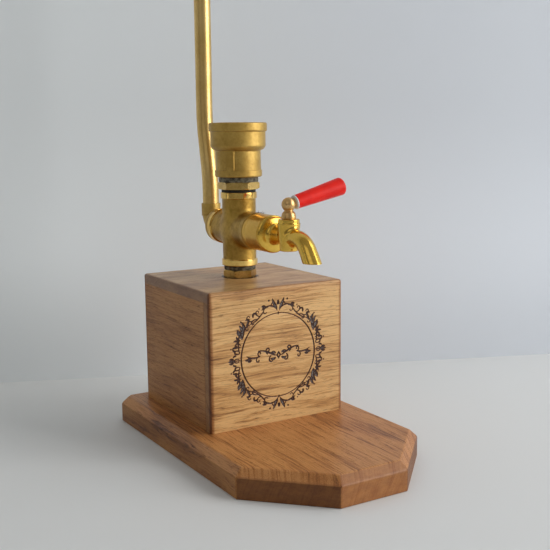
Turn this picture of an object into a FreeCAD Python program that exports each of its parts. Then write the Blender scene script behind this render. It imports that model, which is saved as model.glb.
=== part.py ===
import FreeCAD, Part
import math
import os
from types import SimpleNamespace

import Sketcher
from FreeCAD import Placement, Rotation, Vector

# A bottle tap stand. A hollow oak block on an oak board carries a column of brass plumbing:
# a hex nipple through the block's top, a four-way cross, a tap at the front, an elbow with a
# vent tube at the rear, and on top a socket that takes the neck of an upturned bottle.
# Origin: centre of the base board's underside. +Z up, the tap points towards -Y.

# ---------------------------------------------------------------- driving dimensions, mm and degrees
dimensions = {
    # base board
    "base_width": 136, "base_length": 226, "base_thickness": 18.5,
    "base_front_cut": 44, "base_rear_cut": 6, "base_chamfer": 5,
    # block of boards; column_y is the middle of the block and the axis of the plumbing
    "column_y": 45, "block_side": 103, "block_height": 92.5, "board_thickness": 7,
    "board_edge_round": 1.8, "top_hole_radius": 10.6,
    "glue_block_side": 14, "glue_block_height": 60,
    "screw_radius": 2, "screw_length": 42, "screw_head_radius": 4, "screw_head_height": 2.4,
    "screw_head_depth": 0.6,
    # pipe threads, drawn at their major radius; the socket side is larger by thread_gap
    "half_thread_radius": 10.43, "three_quarter_thread_radius": 13.17, "thread_gap": 0.05,
    "thread_reach": 10, "pipe_bore_radius": 7,
    # anchor nipple and what holds it
    "anchor_hex_flats": 20.4, "anchor_hex_turn": 43, "anchor_hex_height": 5.3, "anchor_seal_height": 3.2,
    "anchor_seal_radius": 11, "anchor_tail_length": 23,
    "washer_radius": 17, "washer_thickness": 1.5,
    "locknut_flats": 27, "locknut_height": 5,
    "cap_radius": 13, "cap_height": 12, "cap_depth": 8.5,
    # four-way cross
    "cross_reach": 25.5, "cross_arm_radius": 11.7, "cross_collar_radius": 12.6,
    "cross_collar_length": 4.3, "cross_port_depth": 13,
    # reducing nipple and its gasket
    "upper_seal_height": 2, "upper_seal_radius": 12, "reducer_hex_flats": 25.3,
    "reducer_hex_height": 5, "hex_chamfer": 1.1, "hex_chamfer_rise": 0.66, "hex_turn": 26,
    # bottle socket, heights from its lower rim
    "socket_seal_height": 3.5, "socket_seal_radius": 13.7,
    "socket_height": 37.1, "socket_foot_radius": 16.4, "socket_foot_height": 4.7,
    "socket_waist_radius": 15.6, "socket_waist_top": 18.1, "socket_cup_start": 20.6,
    "socket_shoulder_round": 4.2,
    "socket_cup_radius": 19.1, "socket_rim_start": 31.1, "socket_rim_radius": 20.2,
    "socket_thread_radius": 15.15, "socket_thread_depth": 15, "socket_port_depth": 13.5,
    "socket_passage_radius": 10, "socket_edge_round": 1.1, "rib_width": 6.4, "rib_root": 0.5,
    "rib_turn": 130,
    "bottle_seal_radius": 13.4, "bottle_seal_height": 3, "bottle_seal_bore": 9.5,
    # tap extension and gasket, distances forward of the column axis
    "extension_length": 20, "extension_radius": 12.4, "extension_chamfer": 0.5,
    "tap_gasket_thickness": 0.6, "tap_gasket_radius": 11.7,
    # tap body: flange dome on the inlet axis, barrel on the tap axis
    "tap_axis_reach": 65.6, "flange_radius": 12.5, "flange_edge": 1, "dome_depth": 5.5,
    "dome_round": 6, "dome_inner_radius": 7.6, "neck_round": 4, "neck_radius": 6, "neck_start": 9,
    "inlet_bore_radius": 3, "spigot_length": 9,
    "barrel_bottom": 9.1, "barrel_top": 11.4, "barrel_bottom_radius": 5.8,
    "barrel_top_radius": 7.4, "barrel_lip_radius": 6.9, "barrel_lip_height": 2.5,
    "barrel_lip_slope": 0.4, "barrel_foot_chamfer": 0.5,
    "plug_radius": 4.2, "plug_clearance": 0.05, "well_radius": 4.9, "well_depth": 3,
    # spout: a level run, an arc and a straight end, with a level mouth
    "spout_run": 8.7, "spout_bend_radius": 16.5, "spout_turn": 57, "spout_tail": 14,
    "spout_root_radius": 5, "spout_end_radius": 5.9, "spout_bore_radius": 4,
    "spout_mouth_below": 14.2, "trim_size": 60,
    # plug with bell, neck and ball; heights from the barrel's top
    "plug_lift": 0.3, "bell_radius": 4.8, "bell_height": 5.1, "bell_round": 4.2, "bell_skirt": 1.2,
    "plug_neck_radius": 2.8, "ball_radius": 4.6, "ball_height": 9.3,
    "plug_port_radius": 2.8, "port_overrun": 1, "plug_step": 0.3, "ring_width": 1.2, "ring_depth": 0.9,
    "ring_upper": 3, "ring_lower": 14,
    "plug_washer_radius": 4.6, "plug_washer_thickness": 0.8,
    "plug_screw_radius": 1.25, "plug_screw_length": 3.2, "plug_screw_head_radius": 2.6,
    "plug_screw_head_height": 1.6,
    # handle, distances from the ball's centre
    "handle_tilt": 14, "stud_radius": 1.5, "stud_start": 1, "stud_end": 36,
    "boss_radius": 2.5, "ferrule_start": 4.4, "ferrule_length": 1, "ferrule_radius": 4.6,
    "ferrule_chamfer": 0.3,
    "grip_root_radius": 4.5, "grip_end_radius": 5.9, "grip_end": 42.4, "grip_end_round": 1.2,
    # vent elbow and tube, distances back from the column axis
    "rear_seal_thickness": 0.9, "rear_seal_radius": 11.9,
    "elbow_shoulder_radius": 12.2, "elbow_shoulder_length": 2.8, "elbow_leg_radius": 6.4,
    "elbow_bend_radius": 8, "elbow_reach": 42.8, "elbow_socket_radius": 7,
    "elbow_socket_start": 6.6, "elbow_socket_top": 15.1, "elbow_bore_radius": 4.8,
    "solder_gap": 0.04,
    "tube_radius": 6, "tube_bore_radius": 5, "tube_first_run": 15, "tube_bend_radius": 110,
    "tube_lean": 10.5, "tube_slope_run": 21.4, "tube_top": 470,
}


# ---------------------------------------------------------------- sizes bound to the sheet
class Size:
    """A number together with the sheet expression that gives it."""

    def __init__(self, value, text=None):
        self.value = float(value)
        self.text = text or repr(float(value))

    def __add__(self, other):
        other = as_size(other)
        return Size(self.value + other.value, f"({self.text} + {other.text})")

    def __sub__(self, other):
        other = as_size(other)
        return Size(self.value - other.value, f"({self.text} - {other.text})")

    def __mul__(self, factor):
        factor = as_size(factor)
        return Size(self.value * factor.value, f"({self.text} * {factor.text})")

    def __neg__(self):
        return Size(-self.value, f"(-1 * {self.text})")


def as_size(number):
    return number if isinstance(number, Size) else Size(number)


doc = FreeCAD.newDocument("bottle_tap_stand")
sheet = doc.addObject("Spreadsheet::Sheet", "Sizes")
for row, (name, number) in enumerate(dimensions.items(), start=1):
    sheet.set(f"A{row}", name)
    sheet.set(f"B{row}", str(number))
    sheet.setAlias(f"B{row}", name)
doc.recompute()
s = SimpleNamespace(**{name: Size(number, f"Sizes.{name}") for name, number in dimensions.items()})

# heights and distances that several pieces share
block_top = s.base_thickness + s.block_height
anchor_hex_top = block_top + s.anchor_hex_height
cross_bottom = anchor_hex_top + s.anchor_seal_height
cross_z = cross_bottom + s.cross_reach
cross_top = cross_z + s.cross_reach
reducer_bottom = cross_top + s.upper_seal_height
reducer_top = reducer_bottom + s.reducer_hex_height
socket_bottom = reducer_top + s.socket_seal_height
half_socket_radius = s.half_thread_radius + s.thread_gap
three_quarter_socket_radius = s.three_quarter_thread_radius + s.thread_gap
extension_front = s.cross_reach + s.extension_length
flange_back = extension_front + s.tap_gasket_thickness
tap_y = s.column_y - s.tap_axis_reach
barrel_bottom_z = cross_z - s.barrel_bottom
elbow_face = s.cross_reach + s.rear_seal_thickness
HEX_CORNER = 1 / math.cos(math.radians(30))      # corner radius of a hexagon over its flat radius

FORWARD = Rotation(Vector(1, 0, 0), 90)          # a piece's own +Z turned to the row's -Y
BACKWARD = Rotation(Vector(1, 0, 0), -90)        # a piece's own +Z turned to the row's +Y
SIDEWAYS = Rotation(Vector(0, 1, 0), 90)         # a piece's own +Z turned to the row's +X
UPRIGHT = Rotation()


# ---------------------------------------------------------------- helpers
def bind(thing, **sizes):
    """Give properties their values and keep them bound to the sheet."""
    for name, size in sizes.items():
        size = as_size(size)
        setattr(thing, name, size.value)
        thing.setExpression(name, size.text)
    return thing


class Turn:
    """A rotation about an axis by an angle that stays bound to the sheet."""

    def __init__(self, axis, angle):
        self.axis, self.angle = Vector(*axis), as_size(angle)


def place(thing, x=0, y=0, z=0, turn=UPRIGHT):
    """Stand a piece at bound coordinates, with a fixed Rotation or a bound Turn."""
    spot = [as_size(number) for number in (x, y, z)]
    is_bound = isinstance(turn, Turn)
    rotation = Rotation(turn.axis, turn.angle.value) if is_bound else turn
    thing.Placement = Placement(Vector(*[size.value for size in spot]), rotation)
    for axis, size in zip("xyz", spot):
        thing.setExpression(f"Placement.Base.{axis}", size.text)
    if is_bound:
        thing.setExpression("Placement.Rotation.Angle", turn.angle.text)
    return thing


def box(name, length, width, height, x=0, y=0, z=0):
    solid = bind(doc.addObject("Part::Box", name), Length=length, Width=width, Height=height)
    return place(solid, x, y, z)


def cylinder(name, radius, height, x=0, y=0, z=0, turn=UPRIGHT):
    solid = bind(doc.addObject("Part::Cylinder", name), Radius=radius, Height=height)
    return place(solid, x, y, z, turn)


def fuse(name, *solids):
    result = doc.addObject("Part::MultiFuse", name)
    result.Shapes = list(solids)
    return result


def cut(name, base, tool):
    result = doc.addObject("Part::Cut", name)
    result.Base, result.Tool = base, tool
    return result


def common(name, *solids):
    result = doc.addObject("Part::MultiCommon", name)
    result.Shapes = list(solids)
    return result


def ring(name, outer, inner, height, **spot):
    """A flat ring: a disc less its bore."""
    return cut(name, cylinder(name + "_disc", outer, height, **spot),
               cylinder(name + "_bore", inner, height, **spot))


def origin_plane(body, role):
    return next(plane for plane in body.Origin.OriginFeatures if plane.Role == role)


def new_sketch(body, name, role="XZ_Plane"):
    sketch = body.newObject("Sketcher::SketchObject", name)
    sketch.AttachmentSupport = [(origin_plane(body, role), "")]
    sketch.MapMode = "FlatFace"
    return sketch


class Bend:
    """An arc between two corners of an outline; side is +1 where it bulges to the left."""

    def __init__(self, radius, side):
        self.radius, self.side = as_size(radius), side

    def middle(self, start, end):
        """The arc's middle point: the chord's middle moved sideways by the arc's height."""
        chord = end - start
        sagitta = self.radius.value - math.sqrt(max(self.radius.value ** 2 - chord.Length ** 2 / 4, 0))
        left = Vector(-chord.y, chord.x, 0).normalize()
        return (start + end) * 0.5 + left * (sagitta * self.side)


def constrain(sketch, name, constraint, size):
    index = sketch.addConstraint(constraint)
    sketch.renameConstraint(index, name)
    sketch.setExpression(f"Constraints.{name}", size.text)


def pin_point(sketch, name, edge, end, corner):
    """Hold one end of an edge at bound sketch coordinates."""
    for kind, size, axis in (("DistanceX", corner[0], -2), ("DistanceY", corner[1], -1)):
        if size.value == 0:
            sketch.addConstraint(Sketcher.Constraint("PointOnObject", edge, end, axis))
        else:
            constraint = Sketcher.Constraint(kind, -1, 1, edge, end, size.value)
            constrain(sketch, name + kind[-1].lower(), constraint, size)


def draw_path(sketch, items, closed=True):
    """Draw lines and Bends through corners, each a pair of sizes, and constrain them fully."""
    corners, bends = [], {}
    for item in items:
        if isinstance(item, Bend):
            bends[len(corners) - 1] = item
        else:
            corners.append(tuple(as_size(number) for number in item))
    points = [Vector(x.value, y.value, 0) for x, y in corners]
    count = len(corners) if closed else len(corners) - 1
    joints = []
    for index in range(count):
        start, end = points[index], points[(index + 1) % len(points)]
        bend = bends.get(index)
        if bend:
            edge = sketch.addGeometry(Part.Arc(start, bend.middle(start, end), end), False)
            first = 1 if sketch.getPoint(edge, 1).distanceToPoint(start) < 1e-6 else 2
            constrain(sketch, f"radius_{index}", Sketcher.Constraint("Radius", edge, bend.radius.value),
                      bend.radius)
        else:
            edge, first = sketch.addGeometry(Part.LineSegment(start, end), False), 1
        joints.append((edge, first, 3 - first))
    for index, (edge, first, last) in enumerate(joints):
        pin_point(sketch, f"corner_{index}_", edge, first, corners[index])
        if index + 1 < count or closed:
            following = joints[(index + 1) % count]
            sketch.addConstraint(Sketcher.Constraint("Coincident", edge, last, following[0], following[1]))
        else:
            pin_point(sketch, f"corner_{index + 1}_", edge, last, corners[-1])
    return sketch


def turned(name, outline, **spot):
    """A lathe-turned piece: an outline of (radius, height) corners revolved about its own Z."""
    body = doc.addObject("PartDesign::Body", name)
    sketch = draw_path(new_sketch(body, name + "_outline"), outline)
    lathe = body.newObject("PartDesign::Revolution", name + "_turning")
    lathe.Profile = sketch
    lathe.ReferenceAxis = (sketch, ["V_Axis"])
    lathe.Angle = 360
    return place(body, **spot)


def dress(body, kind, name, size, is_wanted):
    """Round or chamfer the edges of the body's tip that is_wanted picks by their geometry."""
    doc.recompute()
    tip = body.Tip
    edges = [f"Edge{n}" for n, edge in enumerate(tip.Shape.Edges, start=1) if is_wanted(edge)]
    feature = body.newObject(f"PartDesign::{kind}", name)
    feature.Base = (tip, edges)
    bind(feature, **{"Radius" if kind == "Fillet" else "Size": size})
    return feature


def level_edge(edge, height):
    return all(abs(vertex.Z - height) < 1e-4 for vertex in edge.Vertexes)


def upright_edge(edge):
    low, high = edge.BoundBox.ZMin, edge.BoundBox.ZMax
    return edge.BoundBox.XLength < 1e-4 and edge.BoundBox.YLength < 1e-4 and high - low > 1


def round_edge(edge, radius, height):
    return (isinstance(edge.Curve, Part.Circle) and abs(edge.Curve.Radius - radius) < 1e-4
            and abs(edge.Curve.Center.z - height) < 1e-4)


def hexagon(name, flats, height, chamfer_ends, turn, x=0, y=0, z=0):
    """A hexagonal bar with the corners of its ends turned off, as on a nut or a hex nipple."""
    bar = doc.addObject("Part::Prism", name + "_bar")
    bar.Polygon = 6
    corner_radius = flats * (HEX_CORNER / 2)
    bind(bar, Circumradius=corner_radius, Height=height)
    place(bar, x, y, z, Turn((0, 0, 1), turn))
    rim = corner_radius - s.hex_chamfer
    rise = s.hex_chamfer_rise
    outline = [(0, 0), (rim, 0), (corner_radius, rise)]
    if chamfer_ends == 2:
        outline += [(corner_radius, height - rise), (rim, height)]
    else:
        outline += [(corner_radius, height)]
    envelope = turned(name + "_turned", outline + [(0, height)], x=x, y=y, z=z)
    return common(name, bar, envelope)


parts = {}


def part(name, thing):
    """Register a finished sub-part under its node name."""
    thing.Label = name
    parts[name] = thing
    return thing


# ---------------------------------------------------------------- wooden stand
def base_board():
    """A board with long cuts at its front corners, small ones at the rear, and a chamfered top."""
    half_width, half_length = s.base_width * 0.5, s.base_length * 0.5
    body = doc.addObject("PartDesign::Body", "base_board_body")
    outline = [(-half_width + s.base_front_cut, -half_length), (half_width - s.base_front_cut, -half_length),
               (half_width, -half_length + s.base_front_cut), (half_width, half_length - s.base_rear_cut),
               (half_width - s.base_rear_cut, half_length), (-half_width + s.base_rear_cut, half_length),
               (-half_width, half_length - s.base_rear_cut), (-half_width, -half_length + s.base_front_cut)]
    pad = body.newObject("PartDesign::Pad", "base_board_pad")
    pad.Profile = draw_path(new_sketch(body, "base_board_outline", "XY_Plane"), outline)
    bind(pad, Length=s.base_thickness)
    dress(body, "Chamfer", "base_board_chamfer", s.base_chamfer,
          lambda edge: level_edge(edge, s.base_thickness.value))
    return cut("base_board_drilled", body, screw_group("base_screw_holes"))


def glue_block_centres():
    """The four inner corners' glue blocks, as offsets from the block's middle."""
    reach = s.block_side * 0.5 - s.board_thickness - s.glue_block_side * 0.5
    return [(reach * side, reach * end) for side in (-1, 1) for end in (-1, 1)]


def screw_group(name):
    """Four countersunk wood screws, heads down, one in the middle of each glue block."""
    screws = []
    head_top = s.screw_head_depth + s.screw_head_height
    outline = [(0, s.screw_head_depth), (s.screw_head_radius, s.screw_head_depth),
               (s.screw_radius, head_top), (s.screw_radius, s.screw_length - s.screw_radius * 2),
               (0, s.screw_length)]
    for number, (dx, dy) in enumerate(glue_block_centres(), start=1):
        screws.append(turned(f"{name}_{number}", outline, x=dx, y=s.column_y + dy))
    return fuse(name, *screws)


def recessed_screw_holes():
    """The straight recess under each screw head, open at the board's underside."""
    holes = [cylinder(f"screw_recess_{number}", s.screw_head_radius, s.screw_head_depth, x=dx,
                      y=s.column_y + dy) for number, (dx, dy) in enumerate(glue_block_centres(), start=1)]
    return fuse("screw_recesses", *holes)


def board(name, x_size, y_size, z_size, x, y, z, is_rounded):
    """A rectangular board from its lowest corner, with the picked edges rounded."""
    body = doc.addObject("PartDesign::Body", name + "_body")
    pad = body.newObject("PartDesign::Pad", name + "_pad")
    pad.Profile = draw_path(new_sketch(body, name + "_outline", "XY_Plane"),
                            [(0, 0), (x_size, 0), (x_size, y_size), (0, y_size)])
    bind(pad, Length=z_size)
    if is_rounded:
        dress(body, "Fillet", name + "_rounding", s.board_edge_round, is_rounded)
    return place(body, x, y, z)


def wooden_stand():
    half, thick = s.block_side * 0.5, s.board_thickness
    front, rear = s.column_y - half, s.column_y + half - thick
    wall_height = s.block_height - thick
    inner_width, side_length = s.block_side - thick * 2, s.block_side - thick

    part("base_board", cut("base_board_recessed", base_board(), recessed_screw_holes()))
    part("base_screws", screw_group("base_screw"))
    part("front_panel", board("front_panel", s.block_side, thick, wall_height, -half, front,
                              s.base_thickness,
                              lambda edge: upright_edge(edge) and edge.BoundBox.YMin < 1e-4))
    part("rear_panel", board("rear_panel", inner_width, thick, wall_height, -half + thick, rear,
                             s.base_thickness, None))

    def rear_edge(edge):
        return upright_edge(edge) and edge.BoundBox.YMin > side_length.value - 1e-4

    part("left_panel", board("left_panel", thick, side_length, wall_height, -half, front + thick,
                             s.base_thickness,
                             lambda edge: rear_edge(edge) and edge.BoundBox.XMin < 1e-4))
    part("right_panel", board("right_panel", thick, side_length, wall_height, half - thick,
                              front + thick, s.base_thickness,
                              lambda edge: rear_edge(edge) and edge.BoundBox.XMin > thick.value - 1e-4))
    lid = board("top_board", s.block_side, s.block_side, thick, -half, front,
                s.base_thickness + wall_height,
                lambda edge: upright_edge(edge) or level_edge(edge, thick.value))
    hole = cylinder("top_board_hole", s.top_hole_radius, thick, 0, s.column_y,
                    s.base_thickness + wall_height)
    part("top_board", cut("top_board_bored", lid, hole))

    half_side = s.glue_block_side * 0.5
    blocks = [box(f"glue_block_{number}", s.glue_block_side, s.glue_block_side, s.glue_block_height,
                  dx - half_side, s.column_y + dy - half_side, s.base_thickness)
              for number, (dx, dy) in enumerate(glue_block_centres(), start=1)]
    part("corner_blocks", cut("corner_blocks_drilled", fuse("glue_blocks", *blocks),
                              screw_group("glue_block_screw_holes")))


# ---------------------------------------------------------------- column of fittings
def anchor():
    """The hex nipple through the block's top, with its washer, locknut and blanking cap."""
    at_column = {"x": 0, "y": s.column_y}
    hexagon_solid = hexagon("anchor_hex", s.anchor_hex_flats, s.anchor_hex_height, 1, s.anchor_hex_turn,
                            z=block_top, **at_column)
    stem_bottom = block_top - s.anchor_tail_length
    stem = cylinder("anchor_stem", s.half_thread_radius,
                    s.anchor_tail_length + s.anchor_hex_height + s.anchor_seal_height + s.thread_reach,
                    z=stem_bottom, **at_column)
    bore = cylinder("anchor_bore", s.pipe_bore_radius,
                    s.anchor_tail_length + s.anchor_hex_height + s.anchor_seal_height + s.thread_reach,
                    z=stem_bottom, **at_column)
    part("anchor_nipple", cut("anchor_nipple_bored", fuse("anchor_nipple_solid", hexagon_solid, stem), bore))

    washer_bottom = block_top - s.board_thickness - s.washer_thickness
    part("anchor_washer", ring("anchor_washer_ring", s.washer_radius, s.top_hole_radius,
                               s.washer_thickness, z=washer_bottom, **at_column))
    locknut_bottom = washer_bottom - s.locknut_height
    nut = hexagon("locknut_hex", s.locknut_flats, s.locknut_height, 2, s.hex_turn, z=locknut_bottom,
                  **at_column)
    nut_bore = cylinder("locknut_bore", half_socket_radius, s.locknut_height, z=locknut_bottom, **at_column)
    part("anchor_locknut", cut("anchor_locknut_bored", nut, nut_bore))

    wall_bottom = s.cap_height - s.cap_depth
    cap = turned("blanking_cap_body",
                 [(0, 0), (s.cap_radius - s.hex_chamfer, 0), (s.cap_radius, s.hex_chamfer),
                  (s.cap_radius, s.cap_height), (half_socket_radius, s.cap_height),
                  (half_socket_radius, wall_bottom), (0, wall_bottom)],
                 z=stem_bottom - wall_bottom, **at_column)
    part("blanking_cap", cap)
    part("anchor_seal", ring("anchor_seal_ring", s.anchor_seal_radius, half_socket_radius,
                             s.anchor_seal_height, z=anchor_hex_top, **at_column))


def cross():
    """A cast four-way cross: two crossing arms, a collar at each port, threaded ports."""
    length = s.cross_reach * 2
    rear_end = s.column_y + s.cross_reach
    arms = [cylinder("cross_upright", s.cross_arm_radius, length, 0, s.column_y, cross_bottom),
            cylinder("cross_level", s.cross_arm_radius, length, 0, rear_end, cross_z, FORWARD)]
    wide, deep = s.cross_collar_radius, s.cross_collar_length
    collars = [cylinder("cross_collar_bottom", wide, deep, 0, s.column_y, cross_bottom),
               cylinder("cross_collar_top", wide, deep, 0, s.column_y, cross_top - deep),
               cylinder("cross_collar_rear", wide, deep, 0, rear_end, cross_z, FORWARD),
               cylinder("cross_collar_front", wide, deep, 0, s.column_y - s.cross_reach, cross_z, BACKWARD)]
    port = s.cross_port_depth
    hollows = [cylinder("cross_passage_upright", s.pipe_bore_radius, length, 0, s.column_y, cross_bottom),
               cylinder("cross_passage_level", s.pipe_bore_radius, length, 0, rear_end, cross_z, FORWARD),
               cylinder("cross_port_bottom", half_socket_radius, port, 0, s.column_y, cross_bottom),
               cylinder("cross_port_top", half_socket_radius, port, 0, s.column_y, cross_top - port),
               cylinder("cross_port_rear", half_socket_radius, port, 0, rear_end, cross_z, FORWARD),
               cylinder("cross_port_front", half_socket_radius, port, 0, s.column_y - s.cross_reach, cross_z,
                        BACKWARD)]
    part("cross_fitting", cut("cross_bored", fuse("cross_solid", *arms, *collars),
                              fuse("cross_hollow", *hollows)))


def reducer():
    """The gasket and the hex nipple between the cross and the bottle socket."""
    at_column = {"x": 0, "y": s.column_y}
    part("upper_seal", ring("upper_seal_ring", s.upper_seal_radius, half_socket_radius,
                            s.upper_seal_height, z=cross_top, **at_column))
    collar = hexagon("reducer_hex", s.reducer_hex_flats, s.reducer_hex_height, 2, s.hex_turn,
                     z=reducer_bottom, **at_column)
    lower_thread = cylinder("reducer_lower_thread", s.half_thread_radius,
                            s.thread_reach + s.upper_seal_height,
                            z=cross_top - s.thread_reach, **at_column)
    upper_thread = cylinder("reducer_upper_thread", s.three_quarter_thread_radius,
                            s.socket_seal_height + s.thread_reach, z=reducer_top, **at_column)
    bore = cylinder("reducer_bore", s.pipe_bore_radius,
                    s.thread_reach * 2 + s.upper_seal_height + s.reducer_hex_height + s.socket_seal_height,
                    z=cross_top - s.thread_reach, **at_column)
    part("reducing_nipple", cut("reducing_nipple_bored",
                                fuse("reducing_nipple_solid", collar, lower_thread, upper_thread), bore))


def bottle_socket():
    """A reducing socket: foot rim, ribbed waist, cup and thick rim, threaded at both ends."""
    port_top = s.socket_port_depth
    cup_floor = s.socket_height - s.socket_thread_depth
    seal_floor = cup_floor - s.bottle_seal_height
    seal_pocket_radius = s.bottle_seal_radius + s.thread_gap
    outline = [(three_quarter_socket_radius, 0), (s.socket_foot_radius, 0),
               (s.socket_foot_radius, s.socket_foot_height), (s.socket_waist_radius, s.socket_foot_height),
               (s.socket_waist_radius, s.socket_waist_top), Bend(s.socket_shoulder_round, -1),
               (s.socket_cup_radius, s.socket_cup_start),
               (s.socket_cup_radius, s.socket_rim_start), (s.socket_rim_radius, s.socket_rim_start),
               (s.socket_rim_radius, s.socket_height), (s.socket_thread_radius, s.socket_height),
               (s.socket_thread_radius, cup_floor), (seal_pocket_radius, cup_floor),
               (seal_pocket_radius, seal_floor), (s.socket_passage_radius, seal_floor),
               (s.socket_passage_radius, port_top), (three_quarter_socket_radius, port_top)]
    shell = turned("socket_shell", outline)
    rims = [(s.socket_rim_radius.value, s.socket_height.value), (s.socket_foot_radius.value, 0)]
    dress(shell, "Fillet", "socket_rounding", s.socket_edge_round,
          lambda edge: any(round_edge(edge, radius, height) for radius, height in rims))
    rib_height = s.socket_waist_top - s.socket_foot_height
    rib_length = s.socket_foot_radius * 2
    rib_bar = box("socket_rib_bar", s.rib_width, rib_length, rib_height, s.rib_width * -0.5,
                  -s.socket_foot_radius, s.socket_foot_height)
    rib_ring = ring("socket_rib_ring", s.socket_foot_radius, s.socket_waist_radius - s.rib_root,
                    rib_height, z=s.socket_foot_height)
    ribs = common("socket_rib_ends", rib_bar, rib_ring)
    socket = fuse("socket_with_ribs", shell, ribs)
    place(socket, 0, s.column_y, socket_bottom, Turn((0, 0, 1), s.rib_turn))
    part("bottle_socket", socket)

    at_column = {"x": 0, "y": s.column_y}
    part("socket_seal", ring("socket_seal_ring", s.socket_seal_radius, three_quarter_socket_radius,
                             s.socket_seal_height, z=reducer_top, **at_column))
    part("bottle_seal", ring("bottle_seal_ring", s.bottle_seal_radius, s.bottle_seal_bore,
                             s.bottle_seal_height, z=socket_bottom + seal_floor, **at_column))


# ---------------------------------------------------------------- tap
def tap_extension():
    """A plain extension: male thread into the cross, socket for the tap at its front."""
    c, reach = s.extension_chamfer, s.thread_reach
    end = reach + s.extension_length
    outline = [(s.pipe_bore_radius, 0), (s.half_thread_radius, 0), (s.half_thread_radius, reach),
               (s.extension_radius - c, reach), (s.extension_radius, reach + c),
               (s.extension_radius, end - c), (s.extension_radius - c, end), (half_socket_radius, end),
               (half_socket_radius, end - s.cross_port_depth), (s.pipe_bore_radius, end - s.cross_port_depth)]
    part("tap_extension", turned("tap_extension_body", outline, y=s.column_y - s.cross_reach + reach,
                                 z=cross_z, turn=FORWARD))
    part("tap_gasket", ring("tap_gasket_ring", s.tap_gasket_radius, half_socket_radius,
                            s.tap_gasket_thickness, y=s.column_y - extension_front, z=cross_z, turn=FORWARD))


def spout_path(start, radius, turn, tail):
    """Spine in the Y-Z plane: level forward run, an arc downwards, a straight end."""
    angle = math.radians(turn)
    bend_start = start + Vector(0, -s.spout_run.value, 0)
    centre = bend_start + Vector(0, 0, -radius)
    on_arc = [centre + Vector(0, -math.sin(a) * radius, math.cos(a) * radius) for a in (angle / 2, angle)]
    end = on_arc[1] + Vector(0, -math.cos(angle), -math.sin(angle)) * tail
    return Part.Wire([Part.LineSegment(start, bend_start).toShape(),
                      Part.Arc(bend_start, on_arc[0], on_arc[1]).toShape(),
                      Part.LineSegment(on_arc[1], end).toShape()]), end


def spout_solid(root_radius, end_radius):
    """A round section carried along the spout's spine, growing from root to end."""
    start = Vector(0, tap_y.value, cross_z.value)
    spine, end = spout_path(start, s.spout_bend_radius.value, s.spout_turn.value, s.spout_tail.value)
    angle = math.radians(s.spout_turn.value)
    end_direction = Vector(0, -math.cos(angle), -math.sin(angle))
    sections = [(start, Vector(0, -1, 0), root_radius), (end, end_direction, end_radius)]
    pipe = Part.BRepOffsetAPI.MakePipeShell(spine)
    pipe.setFrenetMode(True)
    for centre, direction, radius in sections:
        pipe.add(Part.Wire(Part.makeCircle(radius, centre, direction)))
    pipe.build()
    pipe.makeSolid()
    return pipe.shape()


def tap_body():
    """One casting: threaded spigot, flange dome and neck, tapered barrel, and the spout."""
    reach = s.spigot_length
    rim_end = reach + s.flange_edge
    inlet_length = reach + s.tap_axis_reach - flange_back
    inlet_outline = [(0, 0), (s.half_thread_radius, 0), (s.half_thread_radius, reach),
                     (s.flange_radius, reach), (s.flange_radius, rim_end), Bend(s.dome_round, -1),
                     (s.dome_inner_radius, reach + s.dome_depth), Bend(s.neck_round, 1),
                     (s.neck_radius, reach + s.neck_start), (s.neck_radius, inlet_length),
                     (0, inlet_length)]
    inlet = turned("tap_inlet", inlet_outline, y=s.column_y - flange_back + reach, z=cross_z, turn=FORWARD)
    lip_start = s.barrel_bottom + s.barrel_top - s.barrel_lip_height
    barrel_height = s.barrel_bottom + s.barrel_top
    foot = s.barrel_foot_chamfer
    barrel = turned("tap_barrel",
                    [(0, 0), (s.barrel_bottom_radius - foot, 0), (s.barrel_bottom_radius, foot),
                     (s.barrel_top_radius, lip_start - s.barrel_lip_slope),
                     (s.barrel_lip_radius, lip_start), (s.barrel_lip_radius, barrel_height),
                     (0, barrel_height)],
                    y=tap_y, z=barrel_bottom_z)
    spout = doc.addObject("Part::Feature", "spout_outer")
    spout.Shape = spout_solid(s.spout_root_radius.value, s.spout_end_radius.value)
    mouth_z = cross_z - s.spout_mouth_below
    mouth_box = box("spout_mouth_box", s.trim_size, s.trim_size, s.trim_size, s.trim_size * -0.5,
                    tap_y - s.trim_size, mouth_z - s.trim_size)
    spout_trimmed = cut("spout_trimmed", spout, mouth_box)

    bore_radius = s.plug_radius + s.plug_clearance
    plug_bore = cylinder("plug_bore", bore_radius, barrel_height, 0, tap_y, barrel_bottom_z)
    well = cylinder("washer_well", s.well_radius, s.well_depth, 0, tap_y, barrel_bottom_z)
    inlet_bore = cylinder("inlet_bore", s.inlet_bore_radius, inlet_length, 0,
                          s.column_y - flange_back + reach, cross_z, FORWARD)
    spout_bore = doc.addObject("Part::Feature", "spout_bore")
    spout_bore.Shape = spout_solid(s.inlet_bore_radius.value, s.spout_bore_radius.value)
    hollows = fuse("tap_hollows", plug_bore, well, inlet_bore, spout_bore)
    part("tap_body", cut("tap_body_bored", fuse("tap_casting", inlet, barrel, spout_trimmed), hollows))


def handle_turn():
    """The turn that takes a piece's own +Z along the handle: tilted up from +X."""
    return Turn((0, 1, 0), as_size(90) - s.handle_tilt)


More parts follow.
